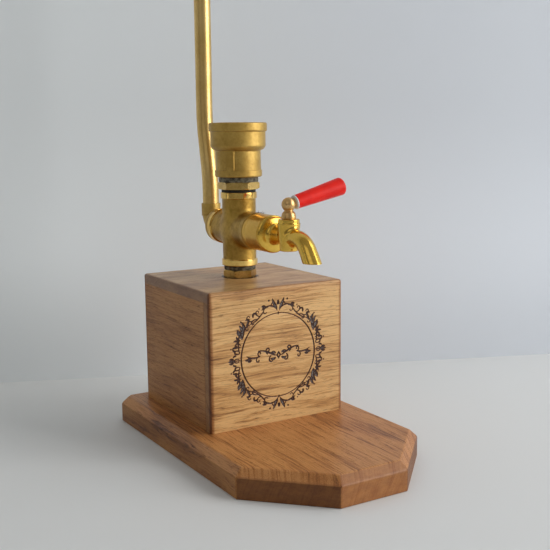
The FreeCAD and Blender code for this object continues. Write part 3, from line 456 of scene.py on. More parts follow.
def oak(name, grain, pith, shift=(0, 0, 0), stain=(1, 1, 1), ends=0.8, calm=1.0, coat=0.1,
        engraved=False, ring=None):
    # solid oak: the distance from the pith's line, pushed about by slow noise, gives the rings, finer
    # noise the fibres and the short dark pores; calm is how strongly the rings show, and ring is the
    # radius of a dark ring round the column
    wood, finish = Recipe(name), oakFinish
    spot = wood.node("SeparateXYZ", {0: wood.vector("ADD", wood.place(), shift)}).outputs
    order = {"x": (0, 1, 2), "y": (1, 0, 2)}[grain]
    along, *sides = [spot[axis] for axis in order]
    place = wood.node("CombineXYZ", {0: along, 1: sides[0], 2: sides[1]}).outputs[0]

    def drift(cells, detail, size):
        # noise about its middle, times the size
        return wood.times(wood.math("SUBTRACT", wood.noise(place, cells, detail), 0.5), size)

    gaps = [wood.math("SUBTRACT", side, middle) for side, middle in zip(sides, pith)]
    reach = wood.math("SQRT", wood.plus(*[wood.times(gap, gap) for gap in gaps]))
    reach = wood.plus(reach, drift(finish["swayCells"], 2, finish["sway"]))
    reach = wood.plus(reach, drift(finish["rippleCells"], 3, finish["ripple"]))
    ringPlace = wood.node("CombineXYZ", {0: along, 1: reach}).outputs[0]
    band = wood.span(wood.noise(ringPlace, finish["bandCells"], 2.5, 0.6), 0.48, 0.72)
    line = wood.span(wood.noise(ringPlace, finish["lineCells"], 2.5, 0.62), 0.47, 0.67)
    patch = wood.noise(place, finish["patchCells"], 2.5, 0.6)
    fibre = wood.noise(place, finish["fibreCells"], 3, 0.7)
    pore = wood.span(wood.noise(place, finish["poreCells"], 2, 0.55), 0.56, 0.64)
    pore = wood.times(pore, wood.math("MULTIPLY_ADD", line, 0.6, 0.4))

    tone = wood.math("MULTIPLY_ADD", band, 0.3 * calm, 0.25 - 0.21 * calm)
    tone = wood.plus(tone, wood.times(line, 0.34 * calm))
    tone = wood.plus(tone, wood.span(patch, 0.35, 0.75, -0.1, 0.4))
    tone = wood.plus(tone, wood.span(fibre, 0.3, 0.72, -0.18, 0.22), clamp=True)
    colour = wood.ramp(tone, [(0.0, finish["pale"]), (finish["middleAt"], finish["middle"]),
                              (1.0, finish["dark"])])
    colour = wood.mix(wood.times(pore, finish["poreShare"]), colour, finish["pore"])

    # the ends of the fibres are mottled and drink more oil; worn edges are darker
    normal = wood.node("SeparateXYZ", {0: wood.node("TexCoord").outputs["Normal"]}).outputs[order[0]]
    isEnd = wood.span(wood.math("ABSOLUTE", normal), *finish["endTurn"])
    mottle = wood.span(wood.noise(wood.place(), finish["mottleCells"], 4, 0.7), 0.35, 0.65)
    mottle = wood.mix(mottle, finish["middle"], finish["mottle"])
    colour = wood.mix(wood.times(isEnd, finish["mottleShare"]), colour, mottle)
    colour = wood.dye(wood.times(isEnd, ends), colour, finish["soaked"])
    colour = wood.dye(1.0, colour, (*stain, 1))
    colour = wood.dye(wood.times(wood.mark("edge"), finish["wornShare"]), colour, finish["worn"])

    height = wood.plus(wood.times(pore, -1.0), wood.times(fibre, -finish["fibreDepth"]))
    rough = wood.plus(wood.math("MULTIPLY_ADD", pore, finish["poreRough"], finish["rough"]),
                      wood.span(fibre, 0.3, 0.7, 0.0, finish["fibreRough"]))
    if ring is not None:
        across = wood.vector("SUBTRACT", wood.place(), (0, columnY, 0))
        away = wood.vector("LENGTH", wood.vector("MULTIPLY", across, (1, 1, 0)), output="Value")
        smear = wood.times(wood.noise(wood.place(), finish["smearCells"], 3, 0.9), finish["smear"])
        isRing = wood.span(wood.math("SUBTRACT", smear, away), -ring, finish["ringWidth"] - ring)
        colour = wood.mix(wood.times(isRing, finish["ringShare"]), colour, finish["ring"])
        rough = wood.plus(rough, wood.times(isRing, finish["ringRough"]))
    if engraved:
        burn, glint = wood.mark("burn"), wood.mark("glint")
        char = wood.mix(wood.noise(wood.place(), finish["sootCells"], 2), finish["burnt"], finish["charred"])
        fleck = wood.span(wood.noise(wood.place(), finish["glintCells"], 2), 0.42, 0.62)
        # painted glint: pale flecks of reflection on the char along the leaves' middles
        char = wood.mix(wood.times(glint, fleck), char, finish["glint"])
        scorch = wood.dye(wood.span(burn, 0.0, 0.35), colour, finish["scorched"])
        colour = wood.mix(wood.span(burn, 0.3, 0.7), scorch, char)
        rough = wood.plus(rough, wood.times(burn, finish["burnRough"]))
    return wood.shade(colour=colour, rough=rough, normal=wood.bump(height, finish["poreDepth"]),
                      specular=finish["shine"], coat=coat, coatRough=finish["coatRough"])


# what all brass has in common; cells are noise cells to a millimetre
brassFinish = {
    "fleckCells": 0.45, "pitCells": 0.8, "pit": tint(60, 44, 24), "pitShare": 0.6, "coatRough": 0.36,
}


def brass(name, bright, dull, rough, grit=3.0, gritDepth=0.03, tarnish=0.05, turning=None, lineDepth=0.0,
          spread=0.08, pits=0.0, coat=0.0):
    # cloudy tarnish between two tones, a fine grit, lathe lines along the turning axis, and pits;
    # grit, tarnish and turning are noise cells to a millimetre, spread is how much rougher flecks are
    metal, finish = Recipe(name), brassFinish
    place = metal.place()
    cloud = metal.noise(place, tarnish, 4, 0.65)
    speck = metal.noise(place, grit, 3, 0.6)
    fleck = metal.noise(place, finish["fleckCells"], 3, 0.6)
    share = metal.plus(metal.span(cloud, 0.35, 0.68), metal.span(fleck, 0.4, 0.7, -0.15, 0.25), clamp=True)
    colour = metal.mix(share, bright, dull)
    normal = metal.bump(speck, gritDepth)
    roughness = metal.plus(metal.span(fleck, 0.35, 0.65, rough, rough + spread),
                           metal.span(speck, 0.3, 0.7, -0.02, 0.03))
    if turning is not None:
        lines = metal.noise(place, turning, 2, 0.6)
        normal = metal.bump(lines, lineDepth, normal)
        roughness = metal.plus(roughness, metal.span(lines, 0.35, 0.65, -0.03, 0.05))
    if pits:
        hole = metal.span(metal.noise(place, finish["pitCells"], 2, 0.5), 0.70, 0.76)
        colour = metal.mix(metal.times(hole, finish["pitShare"]), colour, finish["pit"])
        normal = metal.bump(metal.times(hole, -1.0), pits, normal)
    return metal.shade(colour=colour, metal=1.0, rough=roughness, normal=normal, coat=coat,
                       coatRough=finish["coatRough"])


def rubber(name, light, dark, rough, grit=1.5, depth=0.08):
    # matt rubber with a mottled, slightly torn surface
    seal = Recipe(name)
    place = seal.place()
    mottle = seal.noise(place, (0.35, 0.35, 0.5), 3, 0.6)
    speck = seal.noise(place, grit, 3, 0.6)
    colour = seal.mix(seal.span(mottle, 0.35, 0.65), light, dark)
    height = seal.plus(speck, seal.times(mottle, 1.5))
    return seal.shade(colour=colour, rough=seal.span(speck, 0.3, 0.7, rough - 0.08, rough + 0.08),
                      specular=0.18, normal=seal.bump(height, depth))


def plastic(name, colour, shadeColour, rough, specular=0.5):
    # moulded plastic: a faint unevenness and fine scratches
    mould = Recipe(name)
    place = mould.place()
    wave = mould.noise(place, 0.12, 2)
    scratch = mould.noise(place, (0.3, 2.5, 2.5), 3, 0.7)
    tone = mould.mix(mould.span(wave, 0.3, 0.7), colour, shadeColour)
    height = mould.plus(wave, mould.times(scratch, 0.06))
    return mould.shade(colour=tone, rough=mould.span(scratch, 0.35, 0.7, rough, rough + 0.1),
                       normal=mould.bump(height, 0.1), specular=specular)


def rawWood(name, pale, dark):
    # bare plant fibre: the softwood of the glue blocks, and flax
    wood = Recipe(name)
    place = wood.place()
    line = wood.noise(place, (0.5, 0.5, 0.03), 3, 0.6)
    fibre = wood.noise(place, (3, 3, 0.06), 2)
    colour = wood.ramp(wood.math("MULTIPLY_ADD", fibre, 0.3, wood.times(line, 0.7)),
                       [(0.3, pale), (0.7, dark)])
    return wood.shade(colour=colour, rough=0.7, normal=wood.bump(fibre, 0.08))


frontOak = oak("front_oak", "x", (70, -20), stain=(0.89, 0.85, 0.76), calm=1.25, ends=0.62, engraved=True)
rearOak = oak("rear_oak", "x", (150, -60), shift=(31, 0, 9))
# painted shade: the left panel's oak is stained far darker than the other boards'
leftPaintedShadeOak = oak("left_oak_painted_shade", "y", (-110, -50), shift=(0, 40, 15), stain=(0.53, 0.37, 0.215), calm=0.9,
              ends=0.6)
rightOak = oak("right_oak", "y", (120, -20), shift=(0, 90, 40), stain=(0.8, 0.72, 0.62),
               ends=0.6)
lidOak = oak("lid_oak", "x", (20, 20), shift=(70, 0, 0), stain=(0.76, 0.69, 0.6), calm=0.6, ends=0.6,
             coat=0.4, ring=columnHole)
lidFaceOak = oak("lid_face_oak", "x", (70, -20), stain=(0.9, 0.85, 0.77), calm=1.25)
baseOak = oak("base_oak", "y", (95, -40), shift=(0, 17, 0), stain=(0.67, 0.465, 0.31), ends=0.2,
              calm=1.3, coat=0.16)
# painted shade: a darker copy of the base's oak for its long sides and clipped corners
baseSidePaintedShadeOak = oak("base_side_oak_painted_shade", "y", (95, -40), shift=(0, 17, 0), stain=(0.46, 0.3, 0.15), calm=1.2,
                  ends=0.45, coat=0.05)

satinBrass = brass("satin_brass", tint(198, 163, 84), tint(178, 142, 66), 0.48, 3.2, 0.035, 0.06,
                   spread=0.06, pits=0.06, coat=0.36)
castBrass = brass("cast_brass", tint(190, 152, 70), tint(156, 119, 46), 0.4, 2.2, 0.06, 0.11, pits=0.12,
                  coat=0.22)
turnedBrass = brass("turned_brass", tint(230, 184, 90), tint(216, 168, 74), 0.27, 3.0, 0.004, 0.05,
                    turning=(0, 3.0, 0), lineDepth=0.012, spread=0.03)
nippleBrass = brass("nipple_brass", tint(222, 186, 112), tint(184, 148, 80), 0.27, 2.6, 0.02, 0.08)
collarBrass = brass("collar_brass", tint(242, 202, 116), tint(220, 174, 90), 0.1, 3.0, 0.002, 0.05,
                    turning=(0, 0, 3.5), lineDepth=0.003, spread=0.03)
tubeBrass = brass("tube_brass", tint(230, 196, 126), tint(214, 177, 105), 0.33, 2.4, 0.006, 0.02,
                  turning=(1.6, 1.6, 0.03), lineDepth=0.003, spread=0.04, coat=0.2)
polishedBrass = brass("polished_brass", tint(238, 196, 92), tint(222, 176, 74), 0.18, 0.6, 0.003, 0.04,
                      spread=0.05)
plugBrass = brass("plug_brass", tint(224, 184, 126), tint(204, 162, 102), 0.28, 1.5, 0.012, 0.1)
zincSteel = brass("zinc_steel", tint(196, 198, 200), tint(150, 152, 156), 0.32, 2.5, 0.01, 0.08)
greyRubber = rubber("grey_rubber", tint(130, 124, 104), tint(66, 60, 48), 0.6)
blackRubber = rubber("black_rubber", tint(56, 50, 40), tint(32, 29, 23), 0.62, 1.0, 0.05)
redPlastic = plastic("red_plastic", tint(242, 30, 9), tint(228, 22, 7), 0.36, specular=0.25)
whitePlastic = plastic("white_plastic", tint(236, 236, 233), tint(220, 220, 217), 0.35)
softWood = rawWood("raw_wood", tint(226, 194, 146), tint(184, 142, 94))
flaxFibre = rawWood("flax_fibre", tint(112, 84, 44), tint(52, 36, 20))
print("finishes mixed")


# wooden stand: base board, four panels and a lid
stand = {
    "halfWidth": 68.0, "halfLength": 113.0, "baseTop": 18.5, "frontCut": 44.0, "rearCut": 6.0,
    "chamfer": 5.0, "baseEdge": 0.9, "screwHead": 4.0, "screwRecess": 0.6, "screwGap": 0.03,
    "screwReach": 37.5,
    "blockHalf": 51.5, "board": 7.0, "lidTop": 111.0, "edge": 1.8, "seam": 0.15,
    "inner": 5.0,           # a board's outermost rings end this far in, and a cap closes the rest
    "arcPoints": 6, "cuts": 24, "leastRadius": 0.02, "flatHold": 0.12,
    # wear of the edges: how far it reaches, its share at the first cut of a side and along the top,
    # how far below the top's rounding it starts, and the least rounding that wears
    "wearWidth": 1.3, "sideWear": 0.6, "topWear": 0.4, "wearBelow": 0.3, "wearRadius": 1,
    # the lid's hole: how far chips reach, how much its rim opens, and how deep the opening goes
    "chip": 0.35, "rimOpen": 0.25, "rimDepth": (0.35, 0.9),
    "planed": 0.4,          # the lid's front within this took the front panel's oil
}


def insetOutline(corners, inset):
    # a convex outline, counter-clockwise, with every side moved inwards by the inset
    ahead = np.roll(corners, -1, 0) - corners
    ahead /= np.linalg.norm(ahead, axis=1, keepdims=True)
    inward = np.stack([-ahead[:, 1], ahead[:, 0]], -1)
    before = np.roll(inward, 1, 0)
    mitre = (inward + before) / (1 + (inward * before).sum(1, keepdims=True))
    return corners + mitre * inset


def layered(outlines, heights):
    # one row of points for each outline, at its height
    return np.stack([np.column_stack([outline, np.full(len(outline), height)])
                     for outline, height in zip(outlines, heights)])


def boardLoop(low, high, radii, inset, spots):
    # a rectangle with a rounded corner at each end, each side cut at the given shares of its straight
    # length; corners run front right, rear right, rear left, front left
    middles = (high + low) / 2
    half = (high - low) / 2 - inset
    signs = np.array([(1, -1), (1, 1), (-1, 1), (-1, -1)])
    radii = np.maximum(np.array(radii) - inset, stand["leastRadius"])
    angle = np.radians(np.arange(4)[:, None] * 90 - 90 + np.linspace(0, 90, stand["arcPoints"]))
    arcs = ((middles + signs * (half - radii[:, None]))[:, None]
            + radii[:, None, None] * np.stack([np.cos(angle), np.sin(angle)], -1))
    sides = [arcs[k, -1] + (arcs[(k + 1) % 4, 0] - arcs[k, -1]) * spots[k][:, None] for k in range(4)]
    return np.concatenate([np.concatenate([arcs[k], sides[k]]) for k in range(4)])


def boardProfile(low, high, topRound):
    # (inset, height) from inside the underside's rim, up the side, to inside the top's rim
    inner = stand["inner"]
    return roundedProfile([(inner, low), (0, low, stand["seam"]), (0, high, topRound), (inner, high)], 4)


def sideSpots(length, count):
    # even cuts, with two more close to each end: one keeps the shading flat, one ends the edge's wear
    even = np.linspace(0, 1, count + 2)[1:-1]
    near = np.array([stand["flatHold"], stand["wearWidth"]]) / length
    return np.sort(np.concatenate([even[(even > near[1]) & (even < 1 - near[1])], near, 1 - near]))


def roundedBoard(name, node, low, high, radii, topRound, material, hole=None, paint=None):
    # a board as level loops from the middle of its underside to the middle of its top, drawn in where
    # its edges are rounded; a hole for the column joins the two ends
    low, high = np.array(low, float), np.array(high, float)
    profile = boardProfile(low[2], high[2], topRound)
    width, depth = (high - low)[:2]
    spots = [sideSpots(length, stand["cuts"]) for length in (depth, width, depth, width)]
    rows = layered([boardLoop(low[:2], high[:2], radii, inset, spots) for inset in profile[:, 0]],
                   profile[:, 1])

    # wear: full on the upright arcs, less at the first cut of each side, weaker along the top's rounding
    arc, column, start = stand["arcPoints"], np.zeros(rows.shape[1]), 0
    for radius, cuts in zip(radii, spots):
        column[start:start + arc] = radius > stand["wearRadius"]
        column[start + arc] = column[start + arc - 1 + len(cuts)] = stand["sideWear"]
        start += arc + len(cuts)
    isTop = (profile[:, 1] > high[2] - topRound - stand["wearBelow"]) & (profile[:, 0] < topRound)
    row = isTop & (topRound > stand["wearRadius"])
    wear = np.maximum(column[None], stand["topWear"] * row[:, None])
    wear[[0, -1]] = 0
    if hole is not None:
        angle = np.arctan2(rows[0, :, 1] - columnY, rows[0, :, 0])
        chip = stand["chip"] * np.clip(np.sin(7 * angle) + np.sin(13 * angle + 1) - 0.6, 0, 1)
        shallow, deep = stand["rimDepth"]
        rings = [(hole + chip + stand["rimOpen"], high[2]), (hole + chip * 0.5, high[2] - shallow),
                 (hole, high[2] - deep), (hole, low[2])]
        circles = [ringed(radius, angle, height) + (0, columnY, 0) for radius, height in rings]
        rows = np.concatenate([rows, circles])
        wear = np.concatenate([wear, np.zeros((len(rings), wear.shape[1]))])
    meshPiece(name, [(rows, hole is not None, True)], material, "stand", [node],
              caps=hole is None, marks={"edge": wear}, paint=paint)


def buildBase():
    # an outline with clipped corners at three levels, the last drawn in by the chamfer
    x, y, clip, nick = [stand[size] for size in ("halfWidth", "halfLength", "frontCut", "rearCut")]
    corners = np.array([(clip - x, -y), (x - clip, -y), (x, clip - y), (x, y - nick), (x - nick, y),
                        (nick - x, y), (-x, y - nick), (-x, clip - y)], float)
    insets = (0.0, 0.0, stand["chamfer"])
    heights = (0.0, stand["baseTop"] - stand["chamfer"], stand["baseTop"])
    rows = layered([insetOutline(corners, inset) for inset in insets], heights)

    def paintedShadeSides(vertices, faces):
        # painted shade: the long sides and the lower clipped corners get a darker copy of the base's oak;
        # the last two faces are the underside and the top
        middle = vertices[np.array(faces[:-2])].mean(1)
        away, isFront = np.abs(middle[:, 0]), middle[:, 1] < clip - y
        isPaintedShade = (away > x - 0.5) | ((away > x - clip) & isFront & (middle[:, 2] < stand["baseTop"] / 2))
        return np.concatenate([isPaintedShade, [False, False]]) * 1

    piece = meshPiece("oak_base", [(rows, False, True)], [baseOak, baseSidePaintedShadeOak], "stand",
                      ["base_board"], caps=True, paint=paintedShadeSides)
    edges = piece.modifiers.new("edges", "BEVEL")
    edges.width, edges.segments = stand["baseEdge"] / perMetre, 3
    edges.limit_method, edges.angle_limit = "ANGLE", math.radians(20)
    edges.harden_normals = True

    # recesses for the four screw heads, cut into the underside a little deeper than the heads stand
    head, deep, reach = stand["screwHead"], stand["screwRecess"] + stand["screwGap"], stand["screwReach"]
    profile = np.array([(0, -1), (head, -1), (head, deep), (0, deep)], float)
    drill = newMesh("drill", *joined([
        (turned(profile, (side * reach, columnY + end * reach, 0), segments=48), False, True)
        for side in (-1, 1) for end in (-1, 1)]))
    closeUp(drill)
    cutter = bpy.data.objects.new("drill", drill)
    scene.collection.objects.link(cutter)
    cut = piece.modifiers.new("recesses", "BOOLEAN")
    cut.operation, cut.solver, cut.object = "DIFFERENCE", "EXACT", cutter
    bpy.context.view_layer.update()
    carved = bpy.data.meshes.new_from_object(piece.evaluated_get(bpy.context.evaluated_depsgraph_get()))
    piece.modifiers.clear()
    piece.data = carved
    bpy.data.objects.remove(cutter)
    carved.shade_smooth()
    carved.set_sharp_from_angle(angle=math.radians(40))
    flats = piece.modifiers.new("flats", "WEIGHTED_NORMAL")
    flats.weight, flats.keep_sharp = 100, True


buildBase()
half, thick = stand["blockHalf"], stand["board"]
front, rear = columnY - half, columnY + half
floorZ, lidZ = stand["baseTop"], stand["lidTop"] - thick
seam, edge = stand["seam"], stand["edge"]
panels = [
    # name, node, low and high corner seen from above, rounding of the upright edges, finish
    ("oak_rear_panel", "rear_panel", (-half + thick, rear - thick), (half - thick, rear),
     (seam, seam, seam, seam), rearOak),
    ("oak_left_panel", "left_panel", (-half, front + thick), (-half + thick, rear),
     (seam, seam, edge, seam), leftPaintedShadeOak),
    ("oak_right_panel", "right_panel", (half - thick, front + thick), (half, rear),
     (seam, edge, seam, seam), rightOak),
]
for name, node, low, high, radii, finish in panels:
    roundedBoard(name, node, (*low, floorZ), (*high, lidZ), radii, seam, finish)


def planedFront(vertices, faces):
    # the lid's front edge was planed together with the front panel
    return (vertices[np.array(faces)].mean(1)[:, 1] < front + stand["planed"]) * 1


roundedBoard("oak_lid", "top_board", (-half, front, lidZ), (half, rear, stand["lidTop"]), (edge,) * 4,
             edge, [lidOak, lidFaceOak], hole=columnHole, paint=planedFront)
print("boards cut")


# engraving on the front panel: a ring in a wreath of scrolls and leaves
# a scroll is (turn from the top in degrees, distance from the middle, heading from the ring's
# direction towards the outside in degrees, length, curvature at the start and end, width at the
# start, middle and end); a leaf is the same, and gets a painted glint, a pale reflection along its middle
engraving = {
    "middle": 64.5, "ring": 28.5, "ringThin": 0.42, "ringThick": 0.9, "depth": 0.35, "step": 0.29,
    "halfField": 39.8, "soft": 0.22, "lower": 0.96,
    "strokeStep": 0.2, "bendPower": 1.6,
    "knot": 0.75, "knotSlope": 0.7,                     # a small point at the ring's top and bottom
    "leafPower": 0.8, "leafRim": 0.08,
    "glintLineShare": 0.42, "glintLineSoft": 1.5,
    "glintLeafWidth": (1.25, 0.6),       # least width of a leaf with a painted glint, and the rise to a full one
    "lozenge": (1.9, 2.6), "lozengeHole": 0.42, "lozengeSlope": 1.2,
    "scrolls": [
        (1.5, 30.4, 66, 13.5, -0.17, -0.07, 0.45, 0.9, 0.55),
        (13, 34.2, 6, 8.5, -0.12, -1.1, 0.6, 0.65, 0.45),
        (9, 33.6, 80, 5.5, 0.35, 1.5, 0.45, 0.6, 0.4),
        (20, 32.8, -34, 13.0, 0.03, 0.1, 0.5, 0.85, 0.5),
        (26, 30.8, 26, 8.4, 0.14, 1.3, 0.5, 0.7, 0.45),
        (32, 30.6, 30, 8.0, -0.02, -1.4, 0.5, 0.7, 0.45),
        (38, 31.6, 34, 9.0, 0.08, 1.2, 0.6, 0.75, 0.45),
        (44, 31.4, 50, 7.4, -0.2, -1.4, 0.5, 0.7, 0.45),
        (81, 29.9, 152, 19.0, 0.05, 0.07, 0.5, 1.2, 0.5),
        (71, 30.4, 124, 7.6, -0.2, -1.3, 0.5, 0.7, 0.45),
        (73, 30.4, 60, 7.4, 0.25, 1.3, 0.5, 0.7, 0.45),
        (79, 30.2, 126, 7.0, -0.25, -1.4, 0.5, 0.7, 0.45),
        (81, 30.2, 50, 6.6, 0.3, 1.4, 0.5, 0.65, 0.45),
        (88.6, 30.2, 128, 8.4, -0.35, -1.2, 0.5, 0.7, 0.45),
        (90, 29.4, 90, 5.5, 0.0, 0.0, 0.6, 0.6, 0.6),
        (10.6, 37.9, 60, 0.3, 0.0, 0.0, 1.1, 1.1, 1.1),
        (48, 38.0, 60, 0.3, 0.0, 0.0, 0.8, 0.8, 0.8),
        (77, 36.8, 60, 0.3, 0.0, 0.0, 0.8, 0.8, 0.8),
        (24, 35.6, 60, 0.3, 0.0, 0.0, 0.7, 0.7, 0.7),
    ],
    "leaves": [
        (1.6, 31.4, 58, 8.0, 0.02, 0.06, 0.3, 1.9, 0.1),
        (2.8, 34.0, 32, 3.6, 0.1, 0.3, 0.3, 1.0, 0.1),
        (1.2, 34.2, 112, 3.2, -0.1, -0.4, 0.3, 1.0, 0.1),
        (16, 34.6, 62, 3.6, -0.3, -0.6, 0.3, 1.1, 0.1),
        (20, 33.6, 96, 3.0, 0.2, 0.5, 0.3, 1.0, 0.1),
        (29, 33.4, 70, 3.4, -0.3, -0.6, 0.3, 1.1, 0.1),
        (35, 33.2, 104, 3.4, 0.2, 0.5, 0.3, 1.1, 0.1),
        (40, 33.8, 70, 3.4, -0.2, -0.5, 0.3, 1.1, 0.1),
        (64, 30.9, 158, 10.0, 0.04, 0.02, 0.9, 2.2, 0.2),
        (63, 32.2, 146, 6.6, -0.04, -0.3, 0.6, 1.9, 0.1),
        (57, 32.8, 142, 6.0, -0.04, -0.35, 0.6, 1.8, 0.1),
        (52, 33.2, 138, 5.2, -0.04, -0.4, 0.6, 1.6, 0.1),
        (49, 32.0, 152, 5.4, 0.05, 0.1, 0.5, 1.5, 0.1),
        (60, 32.8, 76, 4.6, 0.2, 0.4, 0.4, 1.5, 0.1),
        (66, 31.8, 84, 4.6, 0.2, 0.4, 0.5, 1.3, 0.1),
        (68, 33.2, 112, 3.6, -0.3, -0.5, 0.4, 1.1, 0.1),
        (75, 32.8, 100, 3.4, -0.2, -0.5, 0.4, 1.1, 0.1),
        (79, 32.8, 80, 3.4, 0.3, 0.5, 0.4, 1.1, 0.1),
        (84, 32.2, 96, 3.0, -0.3, -0.6, 0.3, 1.0, 0.1),
        (90, 33.6, 90, 4.4, 0.0, 0.0, 0.9, 1.6, 0.1),
        (88.4, 34.0, 122, 3.6, -0.2, -0.5, 0.3, 1.1, 0.1),
    ],
    # the emblem in the middle: scrolls and leaves from (x, z), heading from +X
    "emblemScrolls": [
        (2.4, 0.0, 24, 14.0, 0.02, -0.14, 0.7, 1.25, 0.7),
        (8.5, 1.6, 35, 8.0, 0.3, 1.4, 0.7, 0.95, 0.6),
        (6.0, 0.2, -38, 8.0, -0.25, -1.4, 0.7, 0.95, 0.6),
        (14.3, 0.9, -22, 10.5, 0.1, 0.05, 0.7, 1.05, 0.4),
        (14.5, 0.8, 14, 6.2, 0.45, 1.5, 0.6, 0.8, 0.6),
        (16.5, -0.1, -45, 5.4, -0.4, -1.6, 0.6, 0.8, 0.6),
    ],
    "emblemLeaves": [
        (2.2, 1.3, 48, 4.6, -0.3, -0.5, 0.4, 1.6, 0.1),
        (2.2, -1.3, -48, 4.6, 0.3, 0.5, 0.4, 1.6, 0.1),
        (21.5, -0.6, 0, 4.2, 0.0, 0.0, 0.4, 1.5, 0.1),
        (20.6, -0.2, 38, 3.2, -0.2, -0.5, 0.3, 1.1, 0.1),
        (20.6, -1.0, -38, 3.2, 0.2, 0.5, 0.3, 1.1, 0.1),
    ],
}


def strokeLine(x, z, heading, length, bendStart, bendEnd):
    # evenly spaced points of a line whose curvature goes from bendStart to bendEnd, slowly at first,
    # and the share of its length at each
    count = int(length / engraving["strokeStep"]) + 2
    share = np.linspace(0, 1, count)
    bend = bendStart + (bendEnd - bendStart) * share ** engraving["bendPower"]
    angle = heading + np.cumsum(bend) * length / count
    return np.stack([x + np.cumsum(np.cos(angle)) * length / count,
                     z + np.cumsum(np.sin(angle)) * length / count], -1), share


def engravedMask(x, z, shape):
    # how deep each point is cut, 0 to 1, and how much painted glint, a pale reflection along a leaf's
    # middle, lies on it; the depth is 0.5 plus the distance inside a stroke over the softness, and the
    # largest of all strokes counts; the wreath is drawn for one quarter and folded over
    burn, glint, soft = np.zeros(x.shape), np.zeros(x.shape), shape["soft"]
    foldX, foldZ = np.abs(x), np.where(z < 0, -z / shape["lower"], z)
    reach, turn = np.hypot(x, z), np.arctan2(foldX, foldZ)
    width = shape["ringThin"] + (shape["ringThick"] - shape["ringThin"]) * np.sin(turn) ** 2
    burn = np.maximum(burn, 0.5 + (width / 2 - np.abs(reach - shape["ring"])) / soft)
    fromKnot = foldX + np.abs(np.abs(z) - shape["ring"]) * shape["knotSlope"]
    burn = np.maximum(burn, 0.5 + (shape["knot"] - fromKnot) / soft)

    def carve(start, heading, values, isLeaf, gridX, gridZ):
        # one stroke about its line: its radius goes through half of each width, or swells as a sine
        length, bendStart, bendEnd, widthStart, widthMiddle, widthEnd = values
        line, share = strokeLine(*start, heading, length, bendStart, bendEnd)
        radius = np.interp(share, (0, 0.4, 1), (widthStart / 2, widthMiddle / 2, widthEnd / 2))
        if isLeaf:
            swell = np.sin(np.pi * share ** shape["leafPower"]) ** shape["leafPower"]
            radius = widthMiddle / 2 * swell + shape["leafRim"]
        near = ((gridX > line[:, 0].min() - 2) & (gridX < line[:, 0].max() + 2)
                & (gridZ > line[:, 1].min() - 2) & (gridZ < line[:, 1].max() + 2))
        spots = np.stack([gridX[near], gridZ[near]], -1)
        gap = np.linalg.norm(spots[:, None] - line[None], axis=2)
        burn[near] = np.maximum(burn[near], 0.5 + (radius - gap).max(1) / soft)
        if isLeaf:
            # painted glint: a pale reflection along the middle of the wider leaves
            least, rise = shape["glintLeafWidth"]
            glintLine = 0.5 + (radius * shape["glintLineShare"] - gap).max(1) / (soft * shape["glintLineSoft"])
            shine = np.clip(glintLine, 0, 1) * min(1, max(0, widthMiddle - least) / rise)
            glint[near] = np.maximum(glint[near], shine)

    for kind in ("scrolls", "leaves"):
        for turnStart, distance, heading, *values in shape[kind]:
            angle = math.radians(turnStart)
            start = (distance * math.sin(angle), distance * math.cos(angle))
            # a positive curvature bends the stroke outwards from the ring
            carve(start, math.radians(heading) - angle, values, kind == "leaves", foldX, foldZ)
    for kind in ("emblemScrolls", "emblemLeaves"):
        for startX, startZ, heading, *values in shape[kind]:
            carve((startX, startZ), math.radians(heading), values, kind == "emblemLeaves", foldX, z)
    lozenge = foldX / shape["lozenge"][0] + np.abs(z) / shape["lozenge"][1]
    burn = np.maximum(burn, 0.5 + (1 - lozenge) * shape["lozengeSlope"] / soft)
    burn = np.where(lozenge < shape["lozengeHole"], 0, burn)
    return np.clip(burn, 0, 1), glint * (burn > 0.5)


def buildFrontPanel(shape):
    # the panel as level loops: fine steps across the engraved part of its front, pushed in by the burn
    low, high = np.array((-half, front, floorZ)), np.array((half, front + thick, lidZ))
    flat = 2 * (half - edge)
    fine = np.arange(-shape["halfField"], shape["halfField"] + 0.01, shape["step"])
    spots = [sideSpots(thick, 3), sideSpots(flat, 8), sideSpots(thick, 3),
             np.sort(np.concatenate([sideSpots(flat, 2)[[0, 1, -2, -1]], (fine + flat / 2) / flat]))]
    ends = boardProfile(low[2], high[2], seam)
    bottom, top = ends[:len(ends) // 2], ends[len(ends) // 2:]
    middle = shape["middle"] + fine
    middle = middle[(middle > bottom[-1, 1] + 0.1) & (middle < top[0, 1] - 0.1)]
    profile = np.concatenate([bottom, np.column_stack([0 * middle, middle]), top])
    rows = layered([boardLoop(low[:2], high[:2], (edge, seam, seam, edge), inset, spots)
                    for inset in profile[:, 0]], profile[:, 1])
    burn, glint = engravedMask(rows[..., 0], rows[..., 2] - shape["middle"], shape)
    isFace = rows[..., 1] < front + 0.01
    burn, glint = burn * isFace, glint * isFace
    rows[..., 1] += burn * shape["depth"]
    reach = stand["wearWidth"]
    wear = np.clip((np.abs(rows[..., 0]) - (half - edge - reach)) / reach, 0, 1)
    wear = wear * (rows[..., 1] < front + edge + 0.1)
    meshPiece("oak_front_panel", [(rows, False, True)], frontOak, "stand", ["front_panel"],
              caps=True, sharp=50, marks={"burn": burn, "glint": glint, "edge": wear})


buildFrontPanel(engraving)
print("front panel engraved")


# two hexagon nipples: thread, hexagon, thread
fittings = {
    "halfInch": 10.43, "threeQuarter": 13.17, "bore": 7.0, "columns": 192,
    "pitch": 1.81, "threadDepth": 0.9, "perTurn": 7, "lead": 0.8, "endChamfer": 1,
    "anchor": {"flats": 20.4, "turn": 43, "foot": 88.0, "hexLow": 111.0, "hexHigh": 116.3, "end": 129.5},
    "reducer": {"flats": 25.3, "turn": 26, "foot": 160.5, "hexLow": 172.5, "hexHigh": 177.5, "end": 191.0},
    "hexChamfer": 1.3, "hexRise": 0.8, "hexHold": 0.15,
}
isPlain, isThreaded, isHexagon = 0, 1, 2


